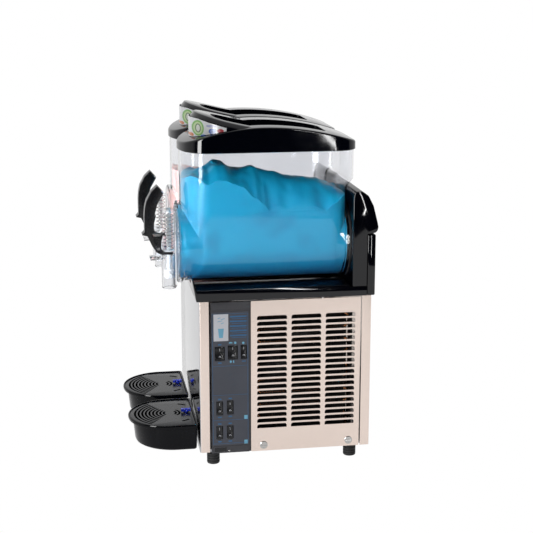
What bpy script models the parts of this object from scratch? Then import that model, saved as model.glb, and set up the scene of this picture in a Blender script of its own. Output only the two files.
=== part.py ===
"""Two-bowl slush machine, modelled as separate pieces that come apart on a bench.

Frame: metres, +Z up, the taps and drip trays face -Y, the control panel is on the +X side.
The origin is on the table, under the middle of the machine's bounding box.
"Right" is the bowl at +X and "left" is the bowl at -X.
"""
import math

import bmesh
import bpy
from mathutils import Vector
from mathutils.geometry import interpolate_bezier

# Driving dimensions, metres.
HALF_WIDTH = 0.200            # deck and tower reach this far to each side
PANEL_X = 0.1985              # outer face of the steel side panels
FRONT_Y = -0.1163             # outer face of the front panel
REAR_Y = 0.2507               # outer face of the rear panel
FOOT_HEIGHT = 0.035
PANEL_BOTTOM = 0.0325
PANEL_TOP = 0.3665
SHEET = 0.0012                # steel sheet thickness
GAP = 0.0004                  # clearance between pieces that touch
LOUVRE_COLUMNS = 3
LOUVRE_ROWS = 20
LOUVRE_WIDTH = 0.063
LOUVRE_HEIGHT = 0.008
LOUVRE_FIRST_Y = 0.0375       # middle of the front column
LOUVRE_COLUMN_STEP = 0.0732
LOUVRE_TOP_Z = 0.3275         # middle of the top row
LOUVRE_ROW_STEP = 0.0126
RETURN_DEPTH = 0.0205         # flanges of the front and rear panels on the machine's sides

BOWL_X = 0.100                # each bowl's centre line, to either side
BOWL_AXIS_Z = 0.476           # axis of the auger and of the bowl's round lower half
BOWL_RADIUS = 0.084
BOWL_RIM_HALF = 0.093
BOWL_RIM_Z = 0.6733
BOWL_FRONT_Y = -0.1444
BOWL_REAR_Y = 0.2035
BOWL_RING_Y = 0.2046          # rear face of the ring that meets the gasket
BOWL_REAR_TOP_Y = 0.2165
BOWL_WALL = 0.003
VISOR_ROOT = 0.006            # how far the visor's base lies under the lid's arch
FRONT_DISC_RADIUS = 0.087
FRONT_DISC_Y = -0.152
REAR_OPENING_RADIUS = 0.0790

DRUM_RADIUS = 0.055
DRUM_FRONT_Y = -0.104
AUGER_RADIUS = 0.0765
AUGER_PITCH = 0.085
AUGER_TURNS = 3.4

TOWER_FRONT_Y = 0.2085
TOWER_TOP_Z = 0.589
TOWER_SEAM_Y = 0.240
REAR_COVER_Y = 0.2572
REAR_COVER_TOP_Z = 0.4975

DECK_TOP_Z = 0.3915
DECK_LIP_Z = 0.412

TAP_Y = -0.168                # axis of the spout, piston and spring
PIVOT_Y = -0.1906             # handle pivot
PIVOT_Z = 0.4648
SPRING_LOW_Z = 0.4585
SPRING_HIGH_Z = 0.539
SPRING_TURNS = 10

TRAY_CENTRE_Y = -0.174
TRAY_RADIUS = 0.0885
TRAY_REAR_Y = -0.1192
TRAY_TOP_Z = 0.0955
TRAY_WALL = 0.003
TRAY_BOTTOM_Z = 0.037
TRAY_RIM_Z = TRAY_TOP_Z - 0.0095    # underside of the overhanging rim
FLOAT_Y = -0.1365
GRID_SLOT_RADII = (0.014, 0.029, 0.044, 0.059)
GRID_SLOT = 0.007             # width of each ring slot
GRID_PLAIN_HALF = 32          # half angle of the plain sectors at the sides, degrees

SIDES = {"right": BOWL_X, "left": -BOWL_X}

# Rocker switches on the control fascia: name, centre Y, centre Z, width, height.
ROCKERS = [
    ("switch_main", -0.0732, 0.2535, 0.0205, 0.0300),
    ("switch_mixer", -0.0457, 0.2553, 0.0205, 0.0300),
    ("switch_light", -0.0225, 0.2553, 0.0125, 0.0300),
    ("switch_right_auger", -0.0743, 0.1333, 0.0135, 0.0300),
    ("switch_right_chill", -0.0520, 0.1343, 0.0135, 0.0300),
    ("switch_left_auger", -0.0747, 0.0785, 0.0135, 0.0300),
    ("switch_left_chill", -0.0523, 0.0788, 0.0135, 0.0300),
]
ROCKER_TILT = math.radians(7)
ROCKER_CLEARANCE = 0.0016


# ---------------------------------------------------------------- helpers

def clear_scene():
    for old in list(bpy.data.objects):
        bpy.data.objects.remove(old, do_unlink=True)


def material(name, colour, roughness=0.5, metallic=0.0, alpha=1.0):
    """A Principled material, made once for each name."""
    found = bpy.data.materials.get(name)
    if found:
        return found
    made = bpy.data.materials.new(name)
    made.use_nodes = True
    shader = made.node_tree.nodes["Principled BSDF"]
    shader.inputs["Base Color"].default_value = (*colour, 1.0)
    shader.inputs["Roughness"].default_value = roughness
    shader.inputs["Metallic"].default_value = metallic
    shader.inputs["Alpha"].default_value = alpha
    return made


def steel(name):
    return material(name, (0.78, 0.75, 0.71), 0.32, 1.0)


def black_plastic(name, roughness=0.12):
    return material(name, (0.008, 0.009, 0.012), roughness)


def clear_plastic(name):
    return material(name, (0.86, 0.92, 0.95), 0.06, 0.0, 0.35)


def mesh_object(name, bm, look):
    """Turn a bmesh into a linked object with outward faces and one material."""
    bmesh.ops.recalc_face_normals(bm, faces=bm.faces)
    mesh = bpy.data.meshes.new(name)
    bm.to_mesh(mesh)
    bm.free()
    made = bpy.data.objects.new(name, mesh)
    bpy.context.collection.objects.link(made)
    if look:
        mesh.materials.append(look)
    return made


def smooth(made, angle=35):
    made.data.shade_smooth()
    made.data.set_sharp_from_angle(angle=math.radians(angle))
    return made


def move_origin(made, point):
    """Put an object's origin on its joint's axis without moving its shape."""
    shift = Vector(point)
    for vertex in made.data.vertices:
        vertex.co -= shift
    made.location = shift
    return made


def helper(made):
    """Mark an object as a construction solid, used only by Booleans."""
    made.hide_render = True
    made.display_type = "WIRE"
    return made


def boolean(made, operation, *tools):
    for tool in tools:
        step = made.modifiers.new(operation.lower(), "BOOLEAN")
        step.operation = operation
        step.solver = "EXACT"
        step.object = helper(tool)
    return made


def cut(made, *tools):
    return boolean(made, "DIFFERENCE", *tools)


def fuse(made, *tools):
    return boolean(made, "UNION", *tools)


def along(axis, a, b, c):
    """Place outline coordinates (a, b) and a distance c along the named axis."""
    if axis == "X":
        return (c, a, b)
    if axis == "Y":
        return (a, c, b)
    return (a, b, c)


def loft(name, rings, look=None):
    """Skin a list of equal rings of points and cap both ends."""
    bm = bmesh.new()
    loops = [[bm.verts.new(point) for point in ring] for ring in rings]
    count = len(rings[0])
    for low, high in zip(loops, loops[1:]):
        for i in range(count):
            j = (i + 1) % count
            bm.faces.new((low[i], low[j], high[j], high[i]))
    bm.faces.new(loops[0])
    bm.faces.new(loops[-1])
    return mesh_object(name, bm, look)


def prism(name, outline, axis, low, high, look=None):
    """Extrude an outline along an axis. The outline is (y, z), (x, z) or (x, y)."""
    rings = [[along(axis, a, b, level) for a, b in outline] for level in (low, high)]
    return loft(name, rings, look)


def box(name, low, high, look=None, bevel=0.0):
    outline = [(low[0], low[1]), (high[0], low[1]), (high[0], high[1]), (low[0], high[1])]
    made = prism(name, outline, "Z", low[2], high[2], look)
    if bevel:
        rounding = made.modifiers.new("edges", "BEVEL")
        rounding.width = bevel
        rounding.segments = 2
        rounding.limit_method = "ANGLE"
    return made


def turned(name, profile, axis, centre, look=None, segments=24):
    """Turn (radius, distance) points about an axis. Radius 0 at both ends closes a solid."""
    bm = bmesh.new()
    solid = profile[0][0] == 0.0
    rows = []
    for radius, distance in profile:
        steps = 1 if radius == 0.0 else segments
        row = []
        for i in range(steps):
            angle = 2 * math.pi * i / segments
            offset = along(axis, radius * math.cos(angle), radius * math.sin(angle), distance)
            row.append(bm.verts.new(Vector(centre) + Vector(offset)))
        rows.append(row)
    pairs = list(zip(rows, rows[1:]))
    if not solid:
        pairs.append((rows[-1], rows[0]))
    for first, second in pairs:
        for i in range(segments):
            j = (i + 1) % segments
            corners = [first[i % len(first)], first[j % len(first)]]
            corners += [second[j % len(second)], second[i % len(second)]]
            bm.faces.new(list(dict.fromkeys(corners)))
    return mesh_object(name, bm, look)


def rod(name, axis, centre, radius, low, high, look=None, segments=24):
    profile = [(0.0, low), (radius, low), (radius, high), (0.0, high)]
    return turned(name, profile, axis, centre, look, segments)


def tube(name, axis, centre, inner, outer, low, high, look=None, segments=24):
    profile = [(outer, low), (outer, high), (inner, high), (inner, low)]
    return turned(name, profile, axis, centre, look, segments)


# ---------------------------------------------------------------- plan outlines of bowl and lid

def half_outline(half_width, front, rear, bow, front_corner, rear_corner, detail=5, side_steps=1):
    """Points (x, y) from the front centre round the +x side to the flat back."""
    bow_end = half_width - front_corner
    points = []
    for i in range(detail):
        x = bow_end * i / detail
        points.append((x, front + bow - math.sqrt(bow * bow - x * x)))
    slope = bow_end / math.sqrt(bow * bow - bow_end * bow_end)
    start_y = front + bow - math.sqrt(bow * bow - bow_end * bow_end)
    start = Vector((bow_end, start_y, 0))
    reach = front_corner * 0.55
    lead = start + Vector((1, slope, 0)) * reach
    end = Vector((half_width, start_y + front_corner * (0.9 + slope), 0))
    tail = end - Vector((0, reach, 0))
    points += [(p.x, p.y) for p in interpolate_bezier(start, lead, tail, end, detail + 1)]
    side_length = rear - rear_corner - end.y
    for i in range(1, side_steps):
        points.append((half_width, end.y + side_length * i / side_steps))
    for i in range(detail + 1):
        angle = math.pi / 2 * i / detail
        x = half_width - rear_corner + rear_corner * math.cos(angle)
        points.append((x, rear - rear_corner + rear_corner * math.sin(angle)))
    return points


def full_outline(centre_x, half):
    """Mirror a half outline. The first point is the front centre."""
    right = [(centre_x + x, y) for x, y in half]
    left = [(centre_x - x, y) for x, y in half[1:]]
    return right + left[::-1]


def capped_loft(name, rings, look=None):
    """Skin mirrored rings; both caps are strips across X, so they can be arched along Y."""
    bm = bmesh.new()
    loops = [[bm.verts.new(point) for point in ring] for ring in rings]
    count = len(rings[0])
    for low, high in zip(loops, loops[1:]):
        for i in range(count):
            j = (i + 1) % count
            bm.faces.new((low[i], low[j], high[j], high[i]))
    for loop in (loops[0], loops[-1]):
        for i in range(count // 2):
            corners = [loop[i], loop[i + 1], loop[count - i - 1], loop[-i]]
            bm.faces.new(list(dict.fromkeys(corners)))
    return mesh_object(name, bm, look)


# ---------------------------------------------------------------- body of the machine

def channel_outline(face_y, return_y):
    """Plan of a folded sheet: a face across X and a flange on each side."""
    inward = 1 if return_y > face_y else -1
    inner_y = face_y + inward * SHEET
    inner_x = PANEL_X - SHEET
    return [
        (-PANEL_X, face_y), (PANEL_X, face_y), (PANEL_X, return_y), (inner_x, return_y),
        (inner_x, inner_y), (-inner_x, inner_y), (-inner_x, return_y), (-PANEL_X, return_y),
    ]


def make_base_pan():
    look = material("galvanised_steel", (0.42, 0.43, 0.44), 0.45, 1.0)
    low = (-0.1946, FRONT_Y + SHEET + GAP, FOOT_HEIGHT + GAP)
    high = (0.1946, REAR_Y - SHEET - GAP, 0.0415)
    pan = box("base_pan", low, high, look)
    inside = box("pan_inside", (low[0] + 0.002, low[1] + 0.002, low[2] + 0.002),
                 (high[0] - 0.002, high[1] - 0.002, 0.06))
    return cut(pan, inside)


def make_folded_panels():
    front = channel_outline(FRONT_Y, FRONT_Y + RETURN_DEPTH)
    prism("front_panel", front, "Z", PANEL_BOTTOM + 0.003, PANEL_TOP, steel("front_steel"))
    rear = channel_outline(REAR_Y, REAR_Y - RETURN_DEPTH)
    rear_panel = prism("rear_panel", rear, "Z", PANEL_BOTTOM, PANEL_TOP, steel("rear_steel"))
    hole = box("inlet_hole", (-0.1345, 0.24, 0.0595), (-0.1055, 0.26, 0.0805))
    cut(rear_panel, hole)


def louvre_outline(y, z):
    """Slot with a flat bottom and rounded top corners, as (y, z)."""
    half = LOUVRE_WIDTH / 2
    low = z - LOUVRE_HEIGHT / 2
    high = z + LOUVRE_HEIGHT / 2
    shoulder = high - LOUVRE_HEIGHT * 0.35
    inset = half - LOUVRE_HEIGHT * 0.35
    return [
        (y - half, low), (y + half, low), (y + half, shoulder),
        (y + inset, high), (y - inset, high), (y - half, shoulder),
    ]


def louvre_cutter(name, x_low, x_high):
    """All the slots of one side panel."""
    bm = bmesh.new()
    for column in range(LOUVRE_COLUMNS):
        for row in range(LOUVRE_ROWS):
            outline = louvre_outline(LOUVRE_FIRST_Y + LOUVRE_COLUMN_STEP * column,
                                     LOUVRE_TOP_Z - LOUVRE_ROW_STEP * row)
            rings = [[bm.verts.new((x, y, z)) for y, z in outline] for x in (x_low, x_high)]
            count = len(outline)
            for i in range(count):
                j = (i + 1) % count
                bm.faces.new((rings[0][i], rings[0][j], rings[1][j], rings[1][i]))
            bm.faces.new(rings[0])
            bm.faces.new(rings[1])
    return mesh_object(name, bm, None)


def make_side_panels():
    rear_edge = REAR_Y - RETURN_DEPTH - 0.0028
    right = box("right_grille_panel", (PANEL_X - SHEET, -0.0074, PANEL_BOTTOM),
                (PANEL_X, rear_edge, PANEL_TOP - 0.002), steel("grille_steel"))
    screw_holes = []
    for y in (0.0197, 0.2047):
        screw_holes.append(rod("screw_hole", "X", (0, y, 0.0455), 0.0035, 0.190, 0.205, None, 12))
    cut(right, louvre_cutter("right_louvres", 0.19, 0.21), *screw_holes)
    left = box("left_grille_panel", (-PANEL_X, FRONT_Y + RETURN_DEPTH + 0.0028, PANEL_BOTTOM),
               (-PANEL_X + SHEET, rear_edge, PANEL_TOP - 0.002), steel("grille_steel"))
    cut(left, louvre_cutter("left_louvres", -0.21, -0.19))


def make_panel_screws():
    """Quarter-turn screws that hold the right grille panel."""
    look = material("screw_steel", (0.6, 0.6, 0.62), 0.3, 1.0)
    for name, y in (("panel_screw_front", 0.0197), ("panel_screw_rear", 0.2047)):
        profile = [(0.0, 0.190), (0.003, 0.190), (0.003, PANEL_X + GAP), (0.0085, PANEL_X + GAP),
                   (0.0080, HALF_WIDTH), (0.0, HALF_WIDTH)]
        screw = turned(name, profile, "X", (0, y, 0.0455), look, 16)
        slot = box("screw_slot", (HALF_WIDTH - 0.0008, y - 0.0012, 0.0375),
                   (0.21, y + 0.0012, 0.0535))
        cut(screw, slot)


def make_control_fascia():
    fascia = box("control_fascia", (0.1950, -0.0917, PANEL_BOTTOM), (PANEL_X, -0.0110, PANEL_TOP - 0.002),
                 material("fascia_grey", (0.09, 0.09, 0.11), 0.35))
    holes = []
    for name, y, z, width, height in ROCKERS:
        half_y = width / 2 + ROCKER_CLEARANCE / 2
        half_z = height / 2 + ROCKER_CLEARANCE
        holes.append(box(name + "_hole", (0.19, y - half_y, z - half_z), (0.21, y + half_y, z + half_z)))
    cut(fascia, *holes)


def make_rockers():
    """Rockers tip about Y. Each rests tipped one way and moves twice that angle."""
    axis_x = 0.1930
    look = black_plastic("rocker_black", 0.3)
    for name, y, z, width, height in ROCKERS:
        half = height / 2
        profile = [(-0.0030, -half * 0.7), (0.0050, -half), (0.0036, 0.0), (0.0050, half),
                   (-0.0030, half * 0.7)]
        outline = []
        for depth, rise in profile:
            x = axis_x + depth * math.cos(ROCKER_TILT) - rise * math.sin(ROCKER_TILT)
            outline.append((x, z + rise * math.cos(ROCKER_TILT) + depth * math.sin(ROCKER_TILT)))
        rocker = prism(name, outline, "Y", y - width / 2, y + width / 2, look)
        move_origin(rocker, (axis_x, y, z))


def make_feet():
    look = material("foot_rubber", (0.012, 0.012, 0.013), 0.7)
    profile = [(0.0, 0.0), (0.0130, 0.0)]
    for ring in range(3):
        low = 0.002 + ring * 0.0110
        profile += [(0.0138, low), (0.0138, low + 0.0080), (0.0122, low + 0.0090)]
    profile += [(0.0122, FOOT_HEIGHT), (0.0, FOOT_HEIGHT)]
    for end, y in (("front", -0.085), ("rear", 0.215)):
        for side, x in (("right", 0.165), ("left", -0.165)):
            smooth(turned(f"foot_{end}_{side}", profile, "Z", (x, y, 0), look, 12))


def make_power_inlet():
    look = black_plastic("inlet_black", 0.4)
    inlet = box("power_inlet", (-0.1335, 0.232, 0.0605), (-0.1065, REAR_Y + GAP + 0.003, 0.0795), look)
    flange = box("inlet_flange", (-0.1400, REAR_Y + GAP, 0.0550), (-0.1000, REAR_Y + 0.0035, 0.0850))
    socket = box("inlet_socket", (-0.1310, 0.238, 0.0630), (-0.1090, 0.27, 0.0770))
    fuse(inlet, flange)
    cut(inlet, socket)


# ---------------------------------------------------------------- refrigeration and drive

def make_condensing_unit():
    floor = FOOT_HEIGHT + 0.0028
    profile = [(0.0, floor), (0.058, floor), (0.062, 0.060), (0.062, 0.150), (0.052, 0.178),
               (0.020, 0.190), (0.0, 0.190)]
    compressor = turned("compressor", profile, "Z", (-0.105, 0.150, 0), black_plastic("enamel", 0.3), 24)
    smooth(compressor)
    box("condenser", (0.150, 0.006, 0.056), (0.188, 0.212, 0.338),
        material("condenser_aluminium", (0.5, 0.5, 0.5), 0.5, 1.0), 0.002)
    shroud = box("fan_shroud", (0.1300, 0.010, 0.058), (0.1496, 0.208, 0.336), black_plastic("shroud", 0.5))
    cut(shroud, rod("fan_hole", "X", (0, 0.109, 0.197), 0.084, 0.12, 0.16, None, 32))
    rod("fan_motor", "X", (0, 0.109, 0.197), 0.028, 0.070, 0.112,
        material("motor_grey", (0.2, 0.2, 0.21), 0.4, 0.6), 20)


def make_fan_blade():
    """Hub with five flat blades set at an angle, on the fan motor's axis."""
    centre = Vector((0.125, 0.109, 0.197))
    look = material("fan_aluminium", (0.55, 0.55, 0.56), 0.4, 0.9)
    fan = rod("fan_blade", "X", (0, centre.y, centre.z), 0.018, 0.1126, 0.137, look, 20)
    blades = []
    for i in range(5):
        angle = 2 * math.pi * i / 5
        radial = Vector((0, math.cos(angle), math.sin(angle)))
        across = Vector((0.55, -math.sin(angle) * 0.83, math.cos(angle) * 0.83))
        normal = radial.cross(across).normalized() * 0.0008
        rings = []
        for reach, half in ((0.012, 0.010), (0.040, 0.016), (0.074, 0.021)):
            middle = centre + radial * reach
            edge = across.normalized() * half
            rings.append([middle + edge + normal, middle - edge + normal,
                          middle - edge - normal, middle + edge - normal])
        blades.append(loft(f"blade_{i}", rings))
    fuse(fan, *blades)
    move_origin(fan, centre)


def make_electrics_box():
    box("electrics_box", (0.120, -0.088, 0.060), (0.1880, -0.014, 0.340),
        material("electrics_grey", (0.25, 0.26, 0.27), 0.5), 0.002)


def make_drive(side, x):
    """Gearmotor in the tower, behind its freezing drum."""
    centre = (x, 0, BOWL_AXIS_Z)
    look = material("gearmotor_grey", (0.3, 0.31, 0.32), 0.4, 0.7)
    motor = rod(f"{side}_gearmotor", "Y", centre, 0.040, 0.2125, 0.2375, look, 24)
    gearbox = box("gearbox", (x - 0.030, 0.2130, 0.4000), (x + 0.030, 0.2370, 0.5150))
    fuse(motor, gearbox)


def make_drum(side, x):
    """Cooled steel drum: closed at the front, open behind, with a sleeve for the shaft."""
    back = TOWER_FRONT_Y - GAP
    front = DRUM_FRONT_Y
    profile = [(DRUM_RADIUS, front + 0.004), (DRUM_RADIUS, back), (DRUM_RADIUS - 0.002, back),
               (DRUM_RADIUS - 0.002, front + 0.006), (0.0100, front + 0.004), (0.0100, back),
               (0.0080, back), (0.0080, front), (DRUM_RADIUS - 0.004, front)]
    drum = turned(f"{side}_freezing_drum", profile, "Y", (x, 0, BOWL_AXIS_Z), steel("drum_steel"), 32)
    smooth(drum)


def make_gasket(side, x):
    look = material("gasket_rubber", (0.02, 0.02, 0.02), 0.6)
    gasket = tube(f"{side}_bowl_gasket", "Y", (x, 0, BOWL_AXIS_Z), 0.0790, 0.0850,
                  BOWL_RING_Y + GAP, TOWER_FRONT_Y - GAP, look, 32)
    smooth(gasket)


def make_auger(side, x):
    """Screw ribbon round the drum, held by a front hub on the drive shaft."""
    look = material("auger_white", (0.85, 0.86, 0.86), 0.35)
    steps = 22
    total = int(steps * AUGER_TURNS)
    start_y = -0.1155
    rings = []
    for i in range(total + 1):
        turn = i / steps
        angle = 2 * math.pi * turn
        y = start_y + AUGER_PITCH * turn
        out = Vector((math.cos(angle), 0, math.sin(angle)))
        centre = Vector((x, y, BOWL_AXIS_Z))
        inner = centre + out * (DRUM_RADIUS + 0.0030)
        outer = centre + out * AUGER_RADIUS
        half = Vector((0, 0.0016, 0))
        rings.append([inner - half, outer - half, outer + half, inner + half])
    ribbon = loft("auger_ribbon", rings)
    front = start_y - 0.0035
    profile = [(0.0, front - 0.006), (0.014, front - 0.004), (0.016, front), (0.062, front),
               (0.062, front + 0.0060), (0.0065, front + 0.0060), (0.0065, 0.2120), (0.0, 0.2120)]
    hub = turned(f"{side}_auger", profile, "Y", (x, 0, BOWL_AXIS_Z), look, 28)
    fuse(hub, ribbon)
    smooth(hub)
    move_origin(hub, (x, 0.0, BOWL_AXIS_Z))


# ---------------------------------------------------------------- deck and tower

def make_deck():
    """Black top cover with a front lip and a cradle cut in it for each bowl."""
    look = black_plastic("deck_black")
    bottom = PANEL_TOP + GAP
    outline = [(-0.1210, bottom), (-0.1287, DECK_LIP_Z), (-0.1255, DECK_LIP_Z), (-0.1190, DECK_TOP_Z),
               (TOWER_FRONT_Y - 0.008, DECK_TOP_Z), (TOWER_FRONT_Y - 0.004, 0.3865),
               (TOWER_SEAM_Y, 0.3865), (TOWER_SEAM_Y, bottom)]
    deck = prism("deck", outline, "X", -HALF_WIDTH, HALF_WIDTH, look)
    inside = box("deck_inside", (-0.196, -0.114, 0.35), (0.196, 0.196, 0.3835))
    cradles = []
    for side, x in SIDES.items():
        cradles.append(rod(f"{side}_cradle", "Y", (x, 0, BOWL_AXIS_Z), 0.0890, -0.16, 0.2050, None, 48))
    cut(deck, inside, *cradles)


def tower_profile(inset):
    """Side outline of the tower and its rear hood, as (y, z)."""
    front = TOWER_FRONT_Y + inset
    top = TOWER_TOP_Z - inset
    return [
        (front, 0.3869 - inset * 4), (front, 0.5750), (front + 0.0012, 0.5820 - inset * 0.4),
        (front + 0.0045, top), (0.2274, top), (0.2404 - inset * 0.6, 0.5795 - inset * 0.8),
        (0.2515 - inset, 0.5580), (0.2608 - inset, 0.5217), (0.2625 - inset, 0.5130),
        (0.2610 - inset, 0.5060), (0.2568 - inset, 0.5010 - inset), (TOWER_SEAM_Y - GAP, 0.4985 - inset),
        (TOWER_SEAM_Y - GAP, 0.3869 - inset * 4),
    ]


def make_tower():
    look = black_plastic("tower_black")
    tower = prism("tower", tower_profile(0.0), "X", -HALF_WIDTH, HALF_WIDTH, look)
    wall = 0.003
    inside = prism("tower_inside", tower_profile(wall), "X", -HALF_WIDTH + wall, HALF_WIDTH - wall)
    rear_opening = box("tower_rear_opening", (-0.197, 0.236, 0.38), (0.197, 0.245, 0.4970))
    holes = [rod("shaft_hole", "Y", (x, 0, BOWL_AXIS_Z), 0.0075, 0.20, 0.22) for x in SIDES.values()]
    cut(tower, inside, rear_opening, *holes)


def make_rear_cover():
    look = black_plastic("cover_black")
    low = (-HALF_WIDTH, TOWER_SEAM_Y + GAP, PANEL_TOP + GAP)
    high = (HALF_WIDTH, REAR_COVER_Y, REAR_COVER_TOP_Z)
    cover = box("rear_cover", low, high, look)
    wall = 0.003
    inside = box("cover_inside", (low[0] + wall, low[1] - 0.01, low[2] + wall),
                 (high[0] - wall, high[1] - wall, high[2] - wall))
    cut(cover, inside)


# ---------------------------------------------------------------- bowls and lids

def bowl_ring(x_mid, z, inset, detail=4):
    """Plan ring of the bowl at height z, drawn in by the wall thickness."""
    if z < BOWL_AXIS_Z:
        drop = BOWL_AXIS_Z - z
        radius = BOWL_RADIUS - inset
        half = math.sqrt(max(radius * radius - drop * drop, 1e-5))
    else:
        share = (z - BOWL_AXIS_Z) / (BOWL_RIM_Z - BOWL_AXIS_Z)
        half = BOWL_RADIUS + (BOWL_RIM_HALF - BOWL_RADIUS) * share - inset
    rear_share = min(max((z - 0.592) / 0.022, 0.0), 1.0)
    rear_share = rear_share * rear_share * (3 - 2 * rear_share)
    rear = BOWL_REAR_Y + (BOWL_REAR_TOP_Y - BOWL_REAR_Y) * rear_share - inset
    front = BOWL_FRONT_Y + inset
    scale = half / BOWL_RIM_HALF
    corner = 0.040 * scale
    outline = half_outline(half, front, rear, 0.16 * max(scale, 0.5), corner, corner, detail)
    return [(x, y, z) for x, y in full_outline(x_mid, outline)]


def bowl_levels(inset):
    """Heights of the bowl's rings, closer together where the round bottom turns."""
    levels = []
    for degrees in (80, 64, 48, 32, 16):
        levels.append(BOWL_AXIS_Z - (BOWL_RADIUS - inset) * math.sin(math.radians(degrees)))
    return levels + [BOWL_AXIS_Z, 0.592, 0.600, 0.606, 0.614, BOWL_RIM_Z]


def make_bowl(side, x):
    """Clear bowl: round below, square above, with a round opening behind for the drum."""
    bowl = capped_loft(f"{side}_bowl", [bowl_ring(x, z, 0.0) for z in bowl_levels(0.0)],
                       clear_plastic("bowl_clear"))
    centre = (x, 0, BOWL_AXIS_Z)
    neck = BOWL_RADIUS - 0.002
    back = -0.095
    disc_profile = [(0.0, FRONT_DISC_Y), (FRONT_DISC_RADIUS, FRONT_DISC_Y), (FRONT_DISC_RADIUS, -0.1430),
                    (neck, -0.1400), (neck, back), (0.0, back)]
    disc = turned("front_disc", disc_profile, "Y", centre, None, 32)
    ring_profile = [(0.0, 0.1600), (neck, 0.1600), (neck, 0.1940), (0.0865, 0.1965), (0.0865, BOWL_RING_Y),
                    (0.0, BOWL_RING_Y)]
    rear_ring = turned("rear_ring", ring_profile, "Y", centre, None, 32)
    inner_levels = bowl_levels(BOWL_WALL)[:-1] + [0.70]
    rings = [bowl_ring(x, min(z, BOWL_RIM_Z), BOWL_WALL) for z in inner_levels]
    rings[-1] = [(a, b, 0.70) for a, b, _ in rings[-1]]
    inside = capped_loft("bowl_inside", rings)
    disc_inside = rod("disc_inside", "Y", centre, neck - BOWL_WALL - 0.001,
                      FRONT_DISC_Y + BOWL_WALL, back + 0.005, None, 32)
    opening = rod("rear_opening", "Y", centre, REAR_OPENING_RADIUS, 0.15, 0.22, None, 32)
    outlet = rod("tap_port", "Y", (x, 0, 0.415), 0.009, -0.16, -0.14, None, 16)
    fuse(bowl, disc, rear_ring)
    fuse(inside, disc_inside, opening, outlet)
    cut(bowl, inside)
    smooth(bowl)


def lid_arch(y):
    """Height of the lid's upper side edge along Y."""
    rise = 1.19 if y < 0.024 else 0.87
    return 0.7246 - rise * (y - 0.024) ** 2


def lid_outline(x_mid, inset, detail=5):
    half = half_outline(BOWL_RIM_HALF + 0.0012 - inset, BOWL_FRONT_Y - 0.0031 + inset,
                        BOWL_REAR_TOP_Y + 0.0030 - inset, 0.16, 0.040, 0.040, detail, 9)
    return full_outline(x_mid, half)


def visor_outline(x_mid, inset):
    """The raised front of the lid: a deep bow across the width, merging into the sides."""
    half = half_outline(0.0900 - inset, -0.1210 + inset, 0.0500 - inset, 0.105, 0.060, 0.010, 5, 3)
    return full_outline(x_mid, half)


def visor_crest(y):
    """Height of the visor's top edge along Y."""
    share = min(max((y + 0.110) / 0.115, 0.0), 1.0)
    return 0.7516 - (0.7516 - 0.7225) * share * (1.25 - 0.25 * share)


def visor_shoulder(y):
    """Height where the label ends and the visor's sloping black edge starts."""
    root = lid_arch(y) - VISOR_ROOT
    crest = visor_crest(y)
    return max(crest - 0.0098, root + (crest - root) * 0.3)


def make_lid(side, x):
    """Arched black lid with a raised visor in front and a shallow recess in its top."""
    lid = capped_loft(f"{side}_lid", [
        [(a, b, BOWL_RIM_Z + GAP) for a, b in lid_outline(x, 0.0)],
        [(a, b, lid_arch(b) - 0.002) for a, b in lid_outline(x, 0.0015)],
        [(a, b, lid_arch(b)) for a, b in lid_outline(x, 0.0040)],
    ], black_plastic("lid_black", 0.08))
    visor = capped_loft("visor", [
        [(a, b, lid_arch(b) - VISOR_ROOT) for a, b in visor_outline(x, 0.0)],
        [(a, b, visor_shoulder(b)) for a, b in visor_outline(x, 0.0030)],
        [(a, b, visor_crest(b)) for a, b in visor_outline(x, 0.0110)],
    ])
    recess_half = half_outline(0.050, -0.075, 0.160, 0.30, 0.030, 0.010, 5, 6)
    recess = full_outline(x, recess_half)
    recess_tool = capped_loft("lid_recess", [
        [(a, b, lid_arch(b) - 0.010) for a, b in recess],
        [(a, b, 0.78) for a, b in recess],
    ])
    hollow = capped_loft("lid_hollow", [
        [(a, b, 0.66) for a, b in lid_outline(x, 0.0045)],
        [(a, b, lid_arch(b) - 0.013) for a, b in lid_outline(x, 0.0065)],
    ])
    fuse(lid, visor)
    cut(lid, recess_tool, hollow)
    smooth(lid)


def make_label(side, x):
    """Printed strip that wraps the visor's curved front."""
    outer = visor_outline(x, -0.0010)
    inner = visor_outline(x, -0.0004)
    count = len(outer)
    reach = 9
    order = [i % count for i in range(-reach, reach + 1)]
    rings = []
    for i in order:
        low = lid_arch(outer[i][1]) + 0.0010
        high = visor_shoulder(outer[i][1]) - 0.0010
        rings.append([(*outer[i], low), (*outer[i], high), (*inner[i], high), (*inner[i], low)])
    loft(f"{side}_lid_label", rings, material("label_white", (0.85, 0.87, 0.86), 0.3))


# ---------------------------------------------------------------- tap

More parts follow.
